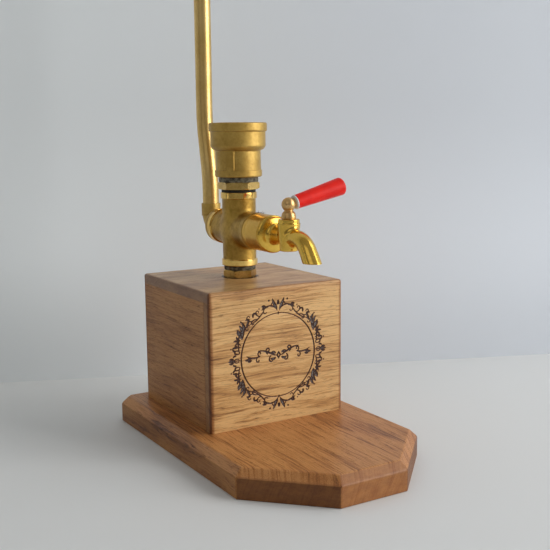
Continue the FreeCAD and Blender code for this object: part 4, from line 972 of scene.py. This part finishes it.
def uneven(points, size, wave, seed=0.0):
    # a smooth wobble: three slow sine fields push every point by up to the size
    x, y, z = [points[..., axis] / wave for axis in range(3)]
    push = np.stack([np.sin(1.7 * y + 0.9 * z + seed) * np.cos(1.1 * z - seed + 0.4 * x),
                     np.sin(1.3 * z + 1.1 * x + 2 * seed) * np.cos(0.7 * x + 1.9 * y),
                     np.sin(1.5 * x + 0.8 * y - seed) * np.cos(1.2 * y + 0.6 * z + seed)], -1)
    return points + push * size


def threadWave(turns):
    # a rounded V with flattened crest and root, 0 at the crest and 1 at the root
    share = np.abs((turns % 1.0) * 2 - 1)
    return np.clip(share * 1.3 - 0.15, 0, 1)


def nippleRows(shape, lowRadius, highRadius):
    # a hex nipple as rings of (radius, height, kind)
    rise, corner, hold = fittings["hexRise"], shape["flats"] / math.sqrt(3), fittings["hexHold"]
    rim, bore, chamfer = corner - fittings["hexChamfer"], fittings["bore"], fittings["endChamfer"]
    foot, low, high, end = [shape[level] for level in ("foot", "hexLow", "hexHigh", "end")]
    step = fittings["pitch"] / fittings["perTurn"]
    lower = np.arange(foot + fittings["lead"], low, step)
    upper = np.arange(high, end - fittings["lead"], step)
    shares = np.linspace(0, 1, 5)
    rows = [(bore, foot, isPlain), (lowRadius - chamfer, foot, isPlain)]
    rows += [(lowRadius, height, isThreaded) for height in lower] + [(lowRadius, low, isPlain)]
    rows += [(rim + (corner - rim) * share, low + rise * share, isHexagon) for share in shares]
    rows += [(corner, low + rise + hold, isHexagon), (corner, high - rise - hold, isHexagon)]
    rows += [(corner - (corner - rim) * share, high - rise + rise * share, isHexagon) for share in shares]
    rows += [(highRadius, high, isPlain)] + [(highRadius, height, isThreaded) for height in upper[1:]]
    rows += [(highRadius - chamfer, end, isPlain), (bore, end, isPlain)]
    return np.array(rows)


def nipple(name, node, shape, lowRadius, highRadius):
    # each ring's radius is plain, cut by the helix of the thread, or limited by the hexagon's flats
    radius, height, kind = [nippleRows(shape, lowRadius, highRadius)[:, k, None] for k in range(3)]
    turn = math.radians(shape["turn"])
    angle = np.linspace(0, 2 * np.pi, fittings["columns"], endpoint=False)[None] + turn
    fromFlat = (angle - turn) % (math.pi / 3) - math.pi / 6
    hexagon = shape["flats"] / 2 / np.cos(fromFlat)
    thread = radius - fittings["threadDepth"] * threadWave(height / fittings["pitch"] - angle / (2 * np.pi))
    reach = np.where(kind == isHexagon, np.minimum(hexagon, radius),
                     np.where(kind == isThreaded, thread, radius))
    meshPiece(name, [(ringed(reach, angle, height) + (0, columnY, 0), True, True)], nippleBrass, "stand",
              [node], sharp=25)


nipple("anchor_hex_nipple", "anchor_nipple", fittings["anchor"], fittings["halfInch"],
       fittings["halfInch"])
nipple("reducing_hex_nipple", "reducing_nipple", fittings["reducer"], fittings["halfInch"],
       fittings["threeQuarter"])


# four-way cross: straight arms melted together, each with a turned collar
cross = {
    "arm": 11.7, "collar": 12.6, "collarLength": 4.3, "reach": 25.5, "port": 10.48, "portDepth": 13.0,
    "portChamfer": 0.7, "bore": 7.0, "blend": 3.2, "collarGap": 1.5, "columns": 128, "rows": 18,
    "rowPower": 1.2, "halvings": 40,
    "wobble": 0.05, "wobbleWave": 3.0, "turnedFrom": 0.3, "rimFrom": 0.6,
}


def smoothMin(first, second, blend):
    # the smaller of two distances, with the crease between them filled over the blend
    share = np.clip(0.5 + 0.5 * (second - first) / blend, 0, 1)
    return second * (1 - share) + first * share - blend * share * (1 - share)


def smoothMax(first, second, blend):
    # the larger of two distances, with the ridge between them rounded over the blend
    return -smoothMin(-first, -second, blend)


def crossArm(shape):
    # one arm from the mitre plane outwards, over the collar, and back in along the port and bore,
    # as (x, sideways, outwards); the outside is where the two blended arms' distance is zero, which
    # halving the gap between a radius inside and one outside finds
    angle = np.linspace(0, 2 * np.pi, shape["columns"], endpoint=False)[None]
    share = np.linspace(0, 1, shape["rows"])[:, None] ** shape["rowPower"]
    arm, mouth = shape["arm"], shape["reach"]
    start = mouth - shape["collarLength"]
    end = start - shape["collarGap"]

    def outwards(radius):
        # from the mitre with the next arm, radius times the sine, to where the collar begins
        return (1 - share) * radius * np.abs(np.sin(angle)) + share * end

    low = np.full((shape["rows"], shape["columns"]), arm * 0.9)
    high = low * 1.6
    for _ in range(shape["halvings"]):
        radius = (low + high) / 2
        fromOther = np.hypot(radius * np.cos(angle), outwards(radius)) - arm
        distance = smoothMin(radius - arm, fromOther, shape["blend"])
        low, high = np.where(distance < 0, radius, low), np.where(distance < 0, high, radius)
    outside = ringed(radius, angle, outwards(radius))

    inner, port, chamfer = mouth - shape["portDepth"], shape["port"], shape["portChamfer"]
    profile = roundedProfile([
        (arm, end + 0.4), (arm, start, 0.5), (shape["collar"], start, 0.35),
        (shape["collar"], mouth, 0.45), (port + chamfer, mouth), (port, mouth - chamfer),
        (port, inner), (shape["bore"], inner)], 4)
    collar = ringed(profile[:, 0, None], angle, profile[:, 1, None])

    share = np.linspace(0, 1, 5)[1:, None]
    out = (1 - share) * inner + share * shape["bore"] * np.abs(np.sin(angle))
    return np.concatenate([outside, collar, ringed(shape["bore"], angle, out)])


def buildCross():
    # the arm up, down, to the rear and to the front; the casting wobbles, the turned collars don't
    x, side, out = np.moveaxis(crossArm(cross), -1, 0)
    arms = [np.stack([x, side, out], -1), np.stack([x, side, -out], -1),
            np.stack([x, out, side], -1), np.stack([x, -out, side], -1)]
    centre = (0, columnY, crossZ)
    reach = cross["reach"] - cross["collarLength"] - cross["turnedFrom"]
    surfaces = [(np.where(np.abs(arm).max(-1, keepdims=True) > reach, arm,
                          uneven(arm, cross["wobble"], cross["wobbleWave"])) + centre, False, True)
                for arm in arms]

    def polishedCollars(vertices, faces):
        # the upper and lower collars are polished, the front and rear rims satin; the rear one is
        # polished too
        middle = vertices[np.array(faces)].mean(1) - centre
        isCollar = (np.abs(middle[:, 2]) > reach) & (np.hypot(middle[:, 0], middle[:, 1]) > cross["arm"])
        fromAxis = np.hypot(middle[:, 0], middle[:, 2])
        isRim = (np.abs(middle[:, 1]) > reach) & (fromAxis > cross["arm"] - cross["rimFrom"])
        isRear = isRim & (middle[:, 1] > 0)
        return isCollar * 1 + isRim * 2 - isRear * 1

    meshPiece("brass_cross", surfaces, [castBrass, collarBrass, satinBrass], "stand",
              ["cross_fitting"], paint=polishedCollars)


buildCross()
print("cross cast")


# bottle socket: foot, waist with two ribs, shoulder, cup and rim
socket = {
    "foot": 181.0, "height": 37.1, "columns": 144, "waist": 15.0, "wall": 15.15,
    "ribs": (-140, 40), "ribWidth": 6.4, "ribRadius": 16.4, "ribFoot": 4.0, "ribTop": 18.7,
    "ribEdge": 0.35, "ribCuts": (-1.3, -0.6, 0, 0.6, 1.3),
    "threadLow": 22.4, "threadEntry": 1.8, "threadPitch": 2.31, "threadDepth": 1.2, "perTurn": 8,
    "fadeHigh": 2, "fadeLow": 1.2, "wobble": 0.04, "wobbleWave": 5.0, "wobbleSeed": 1.3,
    "outline": [(13.22, 0.6), (13.8, 0.0), (16.4, 0.0, 1.1), (16.4, 4.7, 0.45), (15.75, 4.7, 0.3),
                (15.6, 18.1, 1.0), (17.5, 18.8, 1.6), (19.1, 20.9, 2.2), (19.1, 31.1, 0.5),
                (20.1, 31.25, 0.6), (20.2, 37.1, 1.25), (17.0, 37.1, 0.3), (15.3, 35.4)],
    "inside": [(15.15, 22.1), (13.45, 22.1), (13.45, 19.1), (10.0, 19.1, 0.3), (10.0, 13.5, 0.3),
               (13.22, 13.5), (13.22, 0.6)],
}


def buildSocket(shape):
    # a turned outline; between foot and shoulder the radius is raised to two flat ribs, and the cup's
    # wall is cut outwards by the helix of a thread
    edges = np.degrees(np.arctan2(shape["ribWidth"] / 2, shape["ribRadius"]))
    extra = [rib + side * edges + nudge for rib in shape["ribs"] for side in (-1, 1)
             for nudge in shape["ribCuts"]]
    even = np.arange(0, 360, 360 / shape["columns"])
    angle = np.radians(np.sort(np.concatenate([even, np.array(extra) % 360])))[None]
    step = shape["threadPitch"] / shape["perTurn"]
    threads = np.arange(shape["height"] - shape["threadEntry"], shape["threadLow"], -step)
    outline = roundedProfile(shape["outline"], 6)
    wall = np.stack([np.full(len(threads), shape["wall"]), threads], -1)
    profile = np.concatenate([outline, wall, roundedProfile(shape["inside"], 3)])
    index = np.arange(len(profile))[:, None]
    isOutside = index < len(outline)
    isThread = ~isOutside & (index < len(outline) + len(wall))
    radius, height = profile[:, 0, None], profile[:, 1, None]

    fromRib = np.min([np.abs((angle - math.radians(rib) + math.pi) % (2 * math.pi) - math.pi)
                      for rib in shape["ribs"]], axis=0)
    over = (shape["ribWidth"] / 2 - fromRib * shape["ribRadius"]) / shape["ribEdge"]
    raised = shape["waist"] + (shape["ribRadius"] - shape["waist"]) * np.clip(over * 0.5 + 0.5, 0, 1)
    isRib = isOutside & (height > shape["ribFoot"]) & (height < shape["ribTop"])
    fade = (np.clip((threads.max() - height) / shape["fadeHigh"], 0, 1)
            * np.clip((height - threads.min()) / shape["fadeLow"], 0, 1))
    turns = height / shape["threadPitch"] - angle / (2 * np.pi) + 0.5
    thread = shape["wall"] + shape["threadDepth"] * fade * threadWave(turns)
    reach = np.where(isRib, np.maximum(radius, raised), np.where(isThread, thread, radius))
    points = ringed(reach, angle, height)
    wavy = uneven(points, shape["wobble"], shape["wobbleWave"], shape["wobbleSeed"])
    points = np.where(isOutside[..., None], wavy, points) + (0, columnY, shape["foot"])
    meshPiece("brass_socket", [(points, True, True)], satinBrass, "stand",
              ["bottle_socket"], sharp=38)


buildSocket(socket)
print("socket turned")


# rubber seals squeezed between the fittings, and flax fibres that stick out of two joints
seals = [
    # name, node, slot, axis, inner and outer radius, low and high, bulge, wobble
    ("foot_seal", "anchor_seal", "grey_rubber", "z", 10.5, 11.0, 116.3, 119.5, 0.25, 0.10),
    ("upper_gasket", "upper_seal", "black_rubber", "z", 10.5, 11.9, 170.5, 172.5, 0.1, 0.06),
    ("socket_gasket", "socket_seal", "grey_rubber", "z", 13.25, 13.7, 177.5, 181.0, 0.25, 0.16),
    ("neck_ring", "bottle_seal", "black_rubber", "z", 9.5, 13.37, 200.1, 203.1, 0.03, 0.0),
    ("flange_gasket", "tap_gasket", "black_rubber", "y", 10.5, 11.66, -1.1, -0.5, 0.04, 0.05),
    ("elbow_gasket", "rear_seal", "black_rubber", "y", 10.5, 11.85, 70.5, 71.4, 0.06, 0.06),
]
sealFinishes = {"grey_rubber": greyRubber, "black_rubber": blackRubber}


def sealRing(name, node, slot, axis, inner, outer, low, high, bulge, wobble):
    # a ring whose outer wall bulges between its faces and wanders a little round the pipe
    share = np.linspace(0, 1, 9)
    rise = min(0.02, 0.05 * (high - low))
    wall = np.stack([outer - bulge + bulge * 2 * np.sqrt(np.maximum(share * (1 - share), 0)),
                     low + rise + (high - low - 2 * rise) * share], -1)
    profile = np.concatenate([[(inner, low + rise)], wall, [(inner, high - rise)]])
    points = turned(profile, (0, 0, 0), segments=160)
    angle = np.arctan2(points[..., 1], points[..., 0])
    sway = np.sin(3 * angle + low) + 0.7 * np.sin(7 * angle + 1.3 * low) + 0.5 * np.sin(17 * angle)
    sway = sway * wobble / 2 * (np.hypot(points[..., 0], points[..., 1]) > inner + 0.05)
    points = points + ringed(sway, angle, 0)
    if axis == "y":
        points = points[..., [0, 2, 1]] + (0, 0, crossZ)
    else:
        points = points + (0, columnY, 0)
    meshPiece(name, [(points, True, True)], sealFinishes[slot], "stand", [node], sharp=50)


for seal in seals:
    sealRing(*seal)

flax = {
    "seed": 5, "rings": 7, "thick": 0.13,
    # name, number, middle of the joint's circle, its two directions, radius, turn from and to, length, lift
    "tufts": [
        ("flax_at_tap", 34, (0, 18.6, crossZ), (1, 0, 0), (0, 0, 1), 12.3, (70, 108), (1.4, 3.4), 0.8),
        ("flax_at_foot", 46, (0, columnY, 111.15), (1, 0, 0), (0, 1, 0), 10.9, (0, 360), (0.9, 2.2), 0.25),
    ],
}


def buildFlax(name, number, middle, first, second, radius, turn, length, lift):
    # each fibre is a thin three-sided tube along a line that leaves the joint outwards and curls
    random = np.random.default_rng(flax["seed"])
    middle, first, second = [np.array(value, float) for value in (middle, first, second)]
    axis = np.cross(first, second)
    angle = np.radians(random.uniform(*turn, number))[:, None]
    out = np.cos(angle) * first + np.sin(angle) * second
    around = -np.sin(angle) * first + np.cos(angle) * second
    heading = out + around * random.normal(0, 0.9, (number, 1)) + axis * random.normal(0, lift, (number, 1))
    heading /= np.linalg.norm(heading, axis=1, keepdims=True)
    curl = around * random.normal(0, 0.6, (number, 1)) - out * random.uniform(0.1, 0.6, (number, 1))
    share = np.linspace(0, 1, flax["rings"])
    run = random.uniform(*length, (number, 1, 1)) * share[:, None]
    line = middle + (out * radius)[:, None] + heading[:, None] * run + curl[:, None] * run ** 2 * 0.3
    side = np.cross(heading, out + axis * 0.3)
    side /= np.linalg.norm(side, axis=1, keepdims=True)
    other = np.cross(heading, side)
    corner = np.radians([0, 120, 240])[:, None]
    ring = (np.cos(corner) * side[:, None] + np.sin(corner) * other[:, None])[:, None]
    points = line[:, :, None] + ring * (flax["thick"] * (1.1 - share))[:, None, None]
    if axis[2] > 0.5:   # round an upright joint the fibres lie on the board
        points[..., 2] = np.maximum(points[..., 2], middle[2])
    meshPiece(name, [(fibre, False, True) for fibre in points], flaxFibre, "stand", caps=True,
              sharp=80, weld=False)


for tuft in flax["tufts"]:
    buildFlax(*tuft)
print("seals squeezed, flax teased out")


# tap: flange, barrel and spout in one casting; outlines are (radius, distance along the axis)
tap = {
    "axisY": -20.6, "flangeY": -1.1, "spigot": 10.43, "spigotLength": 9.0,
    "inlet": [(12.1, 0.0), (12.5, 0.5), (12.45, 0.9), (12.25, 1.3), (11.8, 1.7), (11.0, 2.05), (10.0, 2.33),
              (9.0, 2.55), (8.0, 2.76), (7.2, 3.0), (6.6, 3.4), (6.1, 4.1), (5.7, 5.2), (5.4, 6.8),
              (5.25, 8.5), (5.2, 10.0), (5.2, 19.5)],
    "barrel": [(5.8, 135.9), (7.4, 153.5), (6.9, 153.9), (6.9, 156.4)],
    "plugBore": 4.25, "well": 4.9, "wellTop": 138.9, "inletBore": 3.0,
    "run": 8.7, "bend": 16.5, "turn": 57.0, "tail": 14.0, "overrun": 6, "root": 5.0, "end": 5.9,
    "boreEnd": 4.0, "mouth": 130.8,
    "soften": 0.5, "neckBlend": 1.6, "spoutBlend": 2.6, "spigotBlend": 0.4, "mouthBlend": 0.35,
    "boreBlend": 0.25,
    # the box that the surface is looked for in, and the size of its cells
    "low": (-13.2, -55.2, 130.0), "high": (13.2, 8.8, 158.2), "cell": 0.3,
}


def turnedField(radial, height, outline):
    # roughly the distance to a turned wall: the gap to the outline's radius, scaled for its slope
    radii, heights = np.array(outline, float).T
    fine = np.linspace(heights[0], heights[-1], 400)
    wall = np.interp(fine, heights, radii)
    slope = np.gradient(wall, fine)
    gap = (radial - np.interp(height, fine, wall)) / np.sqrt(1 + np.interp(height, fine, slope) ** 2)
    return smoothMax(gap, np.maximum(heights[0] - height, height - heights[-1]), tap["soften"])


def spoutField(place, startRadius, endRadius):
    # distance to the spout's centre line, a run, an arc and a straight end, less its growing radius
    x, y, z = [place[..., axis] for axis in range(3)]
    axisY, run, bend, turn = tap["axisY"], tap["run"], tap["bend"], math.radians(tap["turn"])
    bendY, bendZ = axisY - run, crossZ - bend
    onRun = np.clip(axisY - y, 0, run)
    runGap = np.hypot(x, np.hypot(y - (axisY - onRun), z - crossZ))
    angle = np.clip(np.arctan2(bendY - y, z - bendZ), 0, turn)
    arcGap = np.hypot(x, np.hypot(y - (bendY - bend * np.sin(angle)), z - (bendZ + bend * np.cos(angle))))
    endY, endZ = bendY - bend * math.sin(turn), bendZ + bend * math.cos(turn)
    ahead = (-math.cos(turn), -math.sin(turn))
    onTail = np.clip((y - endY) * ahead[0] + (z - endZ) * ahead[1], 0, tap["tail"] + tap["overrun"])
    tailGap = np.hypot(x, np.hypot(y - endY - onTail * ahead[0], z - endZ - onTail * ahead[1]))
    gaps = np.stack([runGap, arcGap, tailGap])
    along = np.stack([onRun, run + bend * angle, run + bend * turn + onTail])
    nearest = gaps.argmin(0)[None]
    gap, gone = [np.take_along_axis(values, nearest, 0)[0] for values in (gaps, along)]
    return gap - (startRadius + (endRadius - startRadius) * gone / (run + bend * turn + tap["tail"]))


def tapField(place):
    # the casting's distance: flange, barrel and spout melted together, less the bores
    x, y, z = [place[..., axis] for axis in range(3)]
    fromInlet, fromPlug = np.hypot(x, z - crossZ), np.hypot(x, y - tap["axisY"])
    inlet = turnedField(fromInlet, tap["flangeY"] - y, tap["inlet"])
    barrel = turnedField(fromPlug, z, tap["barrel"])
    spout = spoutField(place, tap["root"], tap["end"])
    spigotEnds = np.maximum(tap["flangeY"] - 1 - y, y - tap["flangeY"] - tap["spigotLength"])
    spigot = smoothMax(fromInlet - tap["spigot"], spigotEnds, tap["spigotBlend"])
    body = smoothMin(inlet, barrel, tap["neckBlend"])
    body = smoothMin(body, spout, tap["spoutBlend"])
    body = smoothMax(np.minimum(body, spigot), tap["mouth"] - z, tap["mouthBlend"])
    plug = fromPlug - tap["plugBore"]
    well = np.maximum(fromPlug - tap["well"], z - tap["wellTop"])
    inletBore = np.maximum(fromInlet - tap["inletBore"], tap["axisY"] - y)
    spoutBore = np.maximum(spoutField(place, tap["inletBore"], tap["boreEnd"]), y - tap["axisY"])
    hollow = np.minimum(np.minimum(plug, well), np.minimum(inletBore, spoutBore))
    return smoothMax(body, -hollow, tap["boreBlend"])


def netSurface(field, low, high, cell):
    # one vertex in each cell that the surface crosses, at the mean of its edge crossings; then each is
    # evened among its neighbours and pulled back onto the surface
    axes = [np.arange(start, end + cell, cell) for start, end in zip(low, high)]
    value = field(np.stack(np.meshgrid(*axes, indexing="ij"), -1))
    inside = value < 0
    corners = np.array([(i, j, k) for i in (0, 1) for j in (0, 1) for k in (0, 1)])
    shape = np.array(value.shape) - 1
    total = sum(inside[i:i + shape[0], j:j + shape[1], k:k + shape[2]].astype(np.int8) for i, j, k in corners)
    cells = np.argwhere((total > 0) & (total < 8))
    index = np.full(shape, -1)
    index[tuple(cells.T)] = np.arange(len(cells))
    sums, counts = np.zeros((len(cells), 3)), np.zeros((len(cells), 1))
    steps, quads = np.eye(3, dtype=int), []
    for axis in range(3):
        step = steps[axis]
        for corner in corners[corners[:, axis] == 0]:
            first, second = value[tuple((cells + corner).T)], value[tuple((cells + corner + step).T)]
            crosses = ((first < 0) != (second < 0))[:, None]
            share = (first / np.where(first == second, 1, first - second))[:, None]
            sums += np.where(crosses, corner + share * step, 0)
            counts += crosses
        lead, trail = [slice(None)] * 3, [slice(None)] * 3
        lead[axis], trail[axis] = slice(1, None), slice(None, -1)
        edges = np.argwhere(inside[tuple(lead)] != inside[tuple(trail)])
        one, two = steps[(axis + 1) % 3], steps[(axis + 2) % 3]
        around = [edges, edges - one, edges - one - two, edges - two]
        quads.append(np.stack([index[tuple(np.clip(spot, 0, shape - 1).T)] for spot in around], -1))
    quads = np.concatenate(quads)
    points = np.array(low) + (cells + sums / counts) * cell

    def pull(points, nudge=0.02):
        # a step along the field's slope, as long as the distance over the slope
        slope = np.stack([field(points + step) - field(points - step) for step in np.eye(3) * nudge], -1)
        slope = slope / (2 * nudge)
        size = (slope ** 2).sum(-1, keepdims=True)
        move = field(points)[:, None] * slope / np.maximum(size, 0.2)
        return points - np.clip(move, -cell, cell)

    ends = np.concatenate([quads[:, [0, 1]], quads[:, [1, 2]], quads[:, [2, 3]], quads[:, [3, 0]]])
    ends = np.concatenate([ends, ends[:, ::-1]])
    share = np.bincount(ends[:, 0], minlength=len(points))[:, None]
    for evening in (0.5, 0.5, 0.3, 0.0):
        mean = np.stack([np.bincount(ends[:, 0], points[ends[:, 1], axis], len(points))
                         for axis in range(3)], -1) / share
        points = pull(points + (mean - points) * evening)
    return points, quads


def buildTap():
    # the surface on which the casting's distance is zero
    points, quads = netSurface(tapField, tap["low"], tap["high"], tap["cell"])
    mesh = newMesh("tap_casting", points, quads.tolist())
    mesh.materials.append(polishedBrass)
    closeUp(mesh, weld=False)
    fitPiece(mesh, "stand", ["tap_body"], sharp=60)
    print("tap casting:", len(points), "points")


# extension between cross and tap, from its spigot to its mouth
extension = {
    "startY": 29.5,
    "outline": [(7, 0), (10.4, 0), (10.4, 10), (11.7, 10, 0.1), (12.4, 10.6, 0.15), (12.4, 12.8, 0.15),
                (12.0, 13.1), (12.0, 13.4), (12.4, 13.7, 0.15), (12.4, 30, 0.6), (10.48, 30), (10.48, 17),
                (7, 17)],
}


def buildExtension(shape):
    # the outline turned about an axis that points forwards
    outline = roundedProfile(shape["outline"], 5, closed=True)
    meshPiece("brass_extension", [(turned(outline, (0, shape["startY"], crossZ), (0, -1, 0)), True, True)],
              turnedBrass, "stand", ["tap_extension"], sharp=28)


buildTap()
buildExtension(extension)
print("tap cast")


# key: plug with bell, neck and ball, white ring, red grip
key = {
    "plugZ": 138.6, "handleTilt": 14,
    "shank": [(0, 0), (4.2, 0), (4.2, 18.0), (4.7, 18.1, 0.1), (4.8, 18.5, 0.2), (4.8, 19.3, 0.6),
              (4.25, 21.6, 2.0), (2.9, 23.0, 0.9), (2.7, 23.5, 0.3), (2.75, 23.6)],
    "ballHeight": 27.1, "ball": 4.6, "neck": 2.75, "ballRows": 26,
    "boss": [(0, 2.0), (2.5, 2.0), (2.5, 3.9, 0.3), (2.9, 4.38), (0, 4.38)],
    "ring": [(1.5, 4.4), (4.25, 4.4, 0.25), (4.6, 4.75, 0.2), (4.6, 5.3, 0.1), (1.5, 5.38)],
    "grip": [(1.5, 5.4), (4.35, 5.4, 0.2), (4.52, 5.7, 0.2), (5.9, 41.3, 1.4), (5.3, 42.35, 1.0),
             (3.0, 42.4), (0.0, 42.4)],
    "gripBore": [(0.0, 36.0), (1.5, 36.0)],
}


def buildKey():
    # the plug and its ball are turned about the upright axis; boss, ring and grip about the handle's,
    # which leaves the ball's centre at a tilt
    lean = math.radians(key["handleTilt"])
    ahead = (math.cos(lean), 0, math.sin(lean))
    centre = (0, tap["axisY"], key["plugZ"] + key["ballHeight"])

    def onHandle(profile, closed):
        # the profile turned about the handle's axis
        return turned(profile, centre, ahead, (0, 1, 0)), closed, True

    # the ball's arc from the neck to its top
    angle = np.linspace(math.asin(key["neck"] / key["ball"]), math.pi, key["ballRows"])
    ball = np.stack([key["ball"] * np.sin(angle), key["ballHeight"] - key["ball"] * np.cos(angle)], -1)
    shank = np.concatenate([roundedProfile(key["shank"], 6)[:-1], ball])
    plug = (turned(shank, (0, tap["axisY"], key["plugZ"])), False, True)
    meshPiece("tap_key_plug", [plug, onHandle(roundedProfile(key["boss"], 4), False)], plugBrass,
              "tap_key", ["tap_plug"], sharp=35)
    meshPiece("key_ring", [onHandle(roundedProfile(key["ring"], 4, closed=True), True)], whitePlastic,
              "tap_key", ["handle_ferrule"], sharp=35)
    grip = np.concatenate([roundedProfile(key["grip"], 6), key["gripBore"]])
    meshPiece("key_grip", [onHandle(grip, True)], redPlastic, "tap_key", ["handle_grip"],
              sharp=40)


buildKey()
print("key fitted")


# vent: elbow and tube
vent = {
    "faceY": 71.4, "spigotY": 60.5, "legEnd": 79.8, "bend": 8.0, "socketTop": 160.1, "tubeFoot": 153.0,
    "elbow": 6.4, "elbowBore": 4.8, "spigot": 10.43, "rim": 12.2, "rimLength": 2.8,
    "cup": 7.0, "cupLength": 8.5, "seat": 6.04, "seatDepth": 7.1, "bendRows": 14, "elbowStep": 0.4,
    "tube": 6.0, "tubeBore": 5.0, "tubeRows": 150, "tubeStep": 2.0, "foot": 5.6,
    "firstRun": 15.0, "sweep": 110.0, "lean": 10.5, "slope": 21.4, "top": 470.0,
    "mouth": [(5.85, -0.12), (5.6, 0.0), (5.25, 0.0), (5.0, -0.25)],   # radius, distance from the end
}


def buildElbow(shape):
    # the leg's path runs back, bends upwards and runs up; its outline has a spigot, a rim against the
    # cross, a bend and a cup, and then the tube's seat and the bore lead back
    legRun, radius, end = shape["legEnd"] - shape["spigotY"], shape["bend"], shape["socketTop"] - crossZ
    path = route((0, shape["spigotY"], crossZ), 0,
                 [("run", legRun), ("bend", radius, 90), ("run", end - radius)], shape["elbowStep"])
    face = shape["faceY"] - shape["spigotY"]
    total = legRun + radius * math.pi / 2 + end - radius
    wall, bore, rim, cup, seat = [shape[label] for label in ("elbow", "elbowBore", "rim", "cup", "seat")]
    outline = roundedProfile([
        (bore, 0.0), (shape["spigot"], 0.0, 0.3), (shape["spigot"], face), (rim, face, 0.3),
        (rim, face + shape["rimLength"], 0.6), (wall + 0.1, face + shape["rimLength"] + 0.4, 0.8),
        (wall, legRun - 1)], 5)
    bend = np.linspace(legRun, legRun + radius * math.pi / 2 - 0.4, shape["bendRows"])
    collar, inner = total - shape["cupLength"], total - shape["seatDepth"]
    mouth = roundedProfile([
        (wall, collar - 1.1), (wall + 0.05, collar - 0.4, 0.2), (cup, collar + 0.1, 0.35),
        (cup, total, 0.35), (seat, total, 0.1), (seat, inner), (bore, inner)], 4)
    outside, inside = [np.stack([0 * bend + radius, rows], -1)
                       for radius, rows in ((wall, bend), (bore, bend[::-1]))]
    profile = np.concatenate([outline, outside, mouth, inside, [(bore, 2.0)]])
    meshPiece("brass_elbow", [(carried(path, profile, 80), True, True)], satinBrass, "stand",
              ["vent_elbow"], sharp=35)


def buildTube(shape):
    # up, over to the rear, up again: the tube's wall out along the path and its bore back
    lean, sweep = math.radians(shape["lean"]), shape["sweep"]
    used = shape["firstRun"] + 2 * sweep * math.sin(lean) + shape["slope"] * math.cos(lean)
    path = route((0, shape["legEnd"] + shape["bend"], shape["tubeFoot"]), 90,
                 [("run", shape["firstRun"]), ("bend", sweep, -shape["lean"]), ("run", shape["slope"]),
                  ("bend", sweep, shape["lean"]), ("run", shape["top"] - shape["tubeFoot"] - used)],
                 shape["tubeStep"])
    length = np.linalg.norm(np.diff(path, axis=0), axis=1).sum()
    along = np.linspace(0.5, length - 0.6, shape["tubeRows"])
    outer = np.stack([0 * along + shape["tube"], along], -1)
    inner = np.stack([0 * along + shape["tubeBore"], along[::-1]], -1)
    mouth = np.array(shape["mouth"]) + (0, length)
    profile = np.concatenate([[(shape["foot"], 0.0)], outer, mouth, inner, [(shape["tubeBore"], 0.0)]])
    meshPiece("brass_vent_tube", [(carried(path, profile, 72), True, True)], tubeBrass, "stand",
              ["vent_tube"], sharp=35)


buildElbow(vent)
buildTube(vent)
print("vent bent")


# pieces that keep their own shape
keptFinishes = {
    "base_screws": zincSteel, "corner_blocks": softWood, "anchor_washer": zincSteel,
    "anchor_locknut": nippleBrass, "blanking_cap": nippleBrass, "plug_rings": blackRubber,
    "plug_washer": zincSteel, "plug_screw": zincSteel, "handle_stud": zincSteel,
}
for node, finish in keptFinishes.items():
    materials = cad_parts[node].data.materials
    materials.clear()
    materials.append(finish)
print("kept pieces finished")
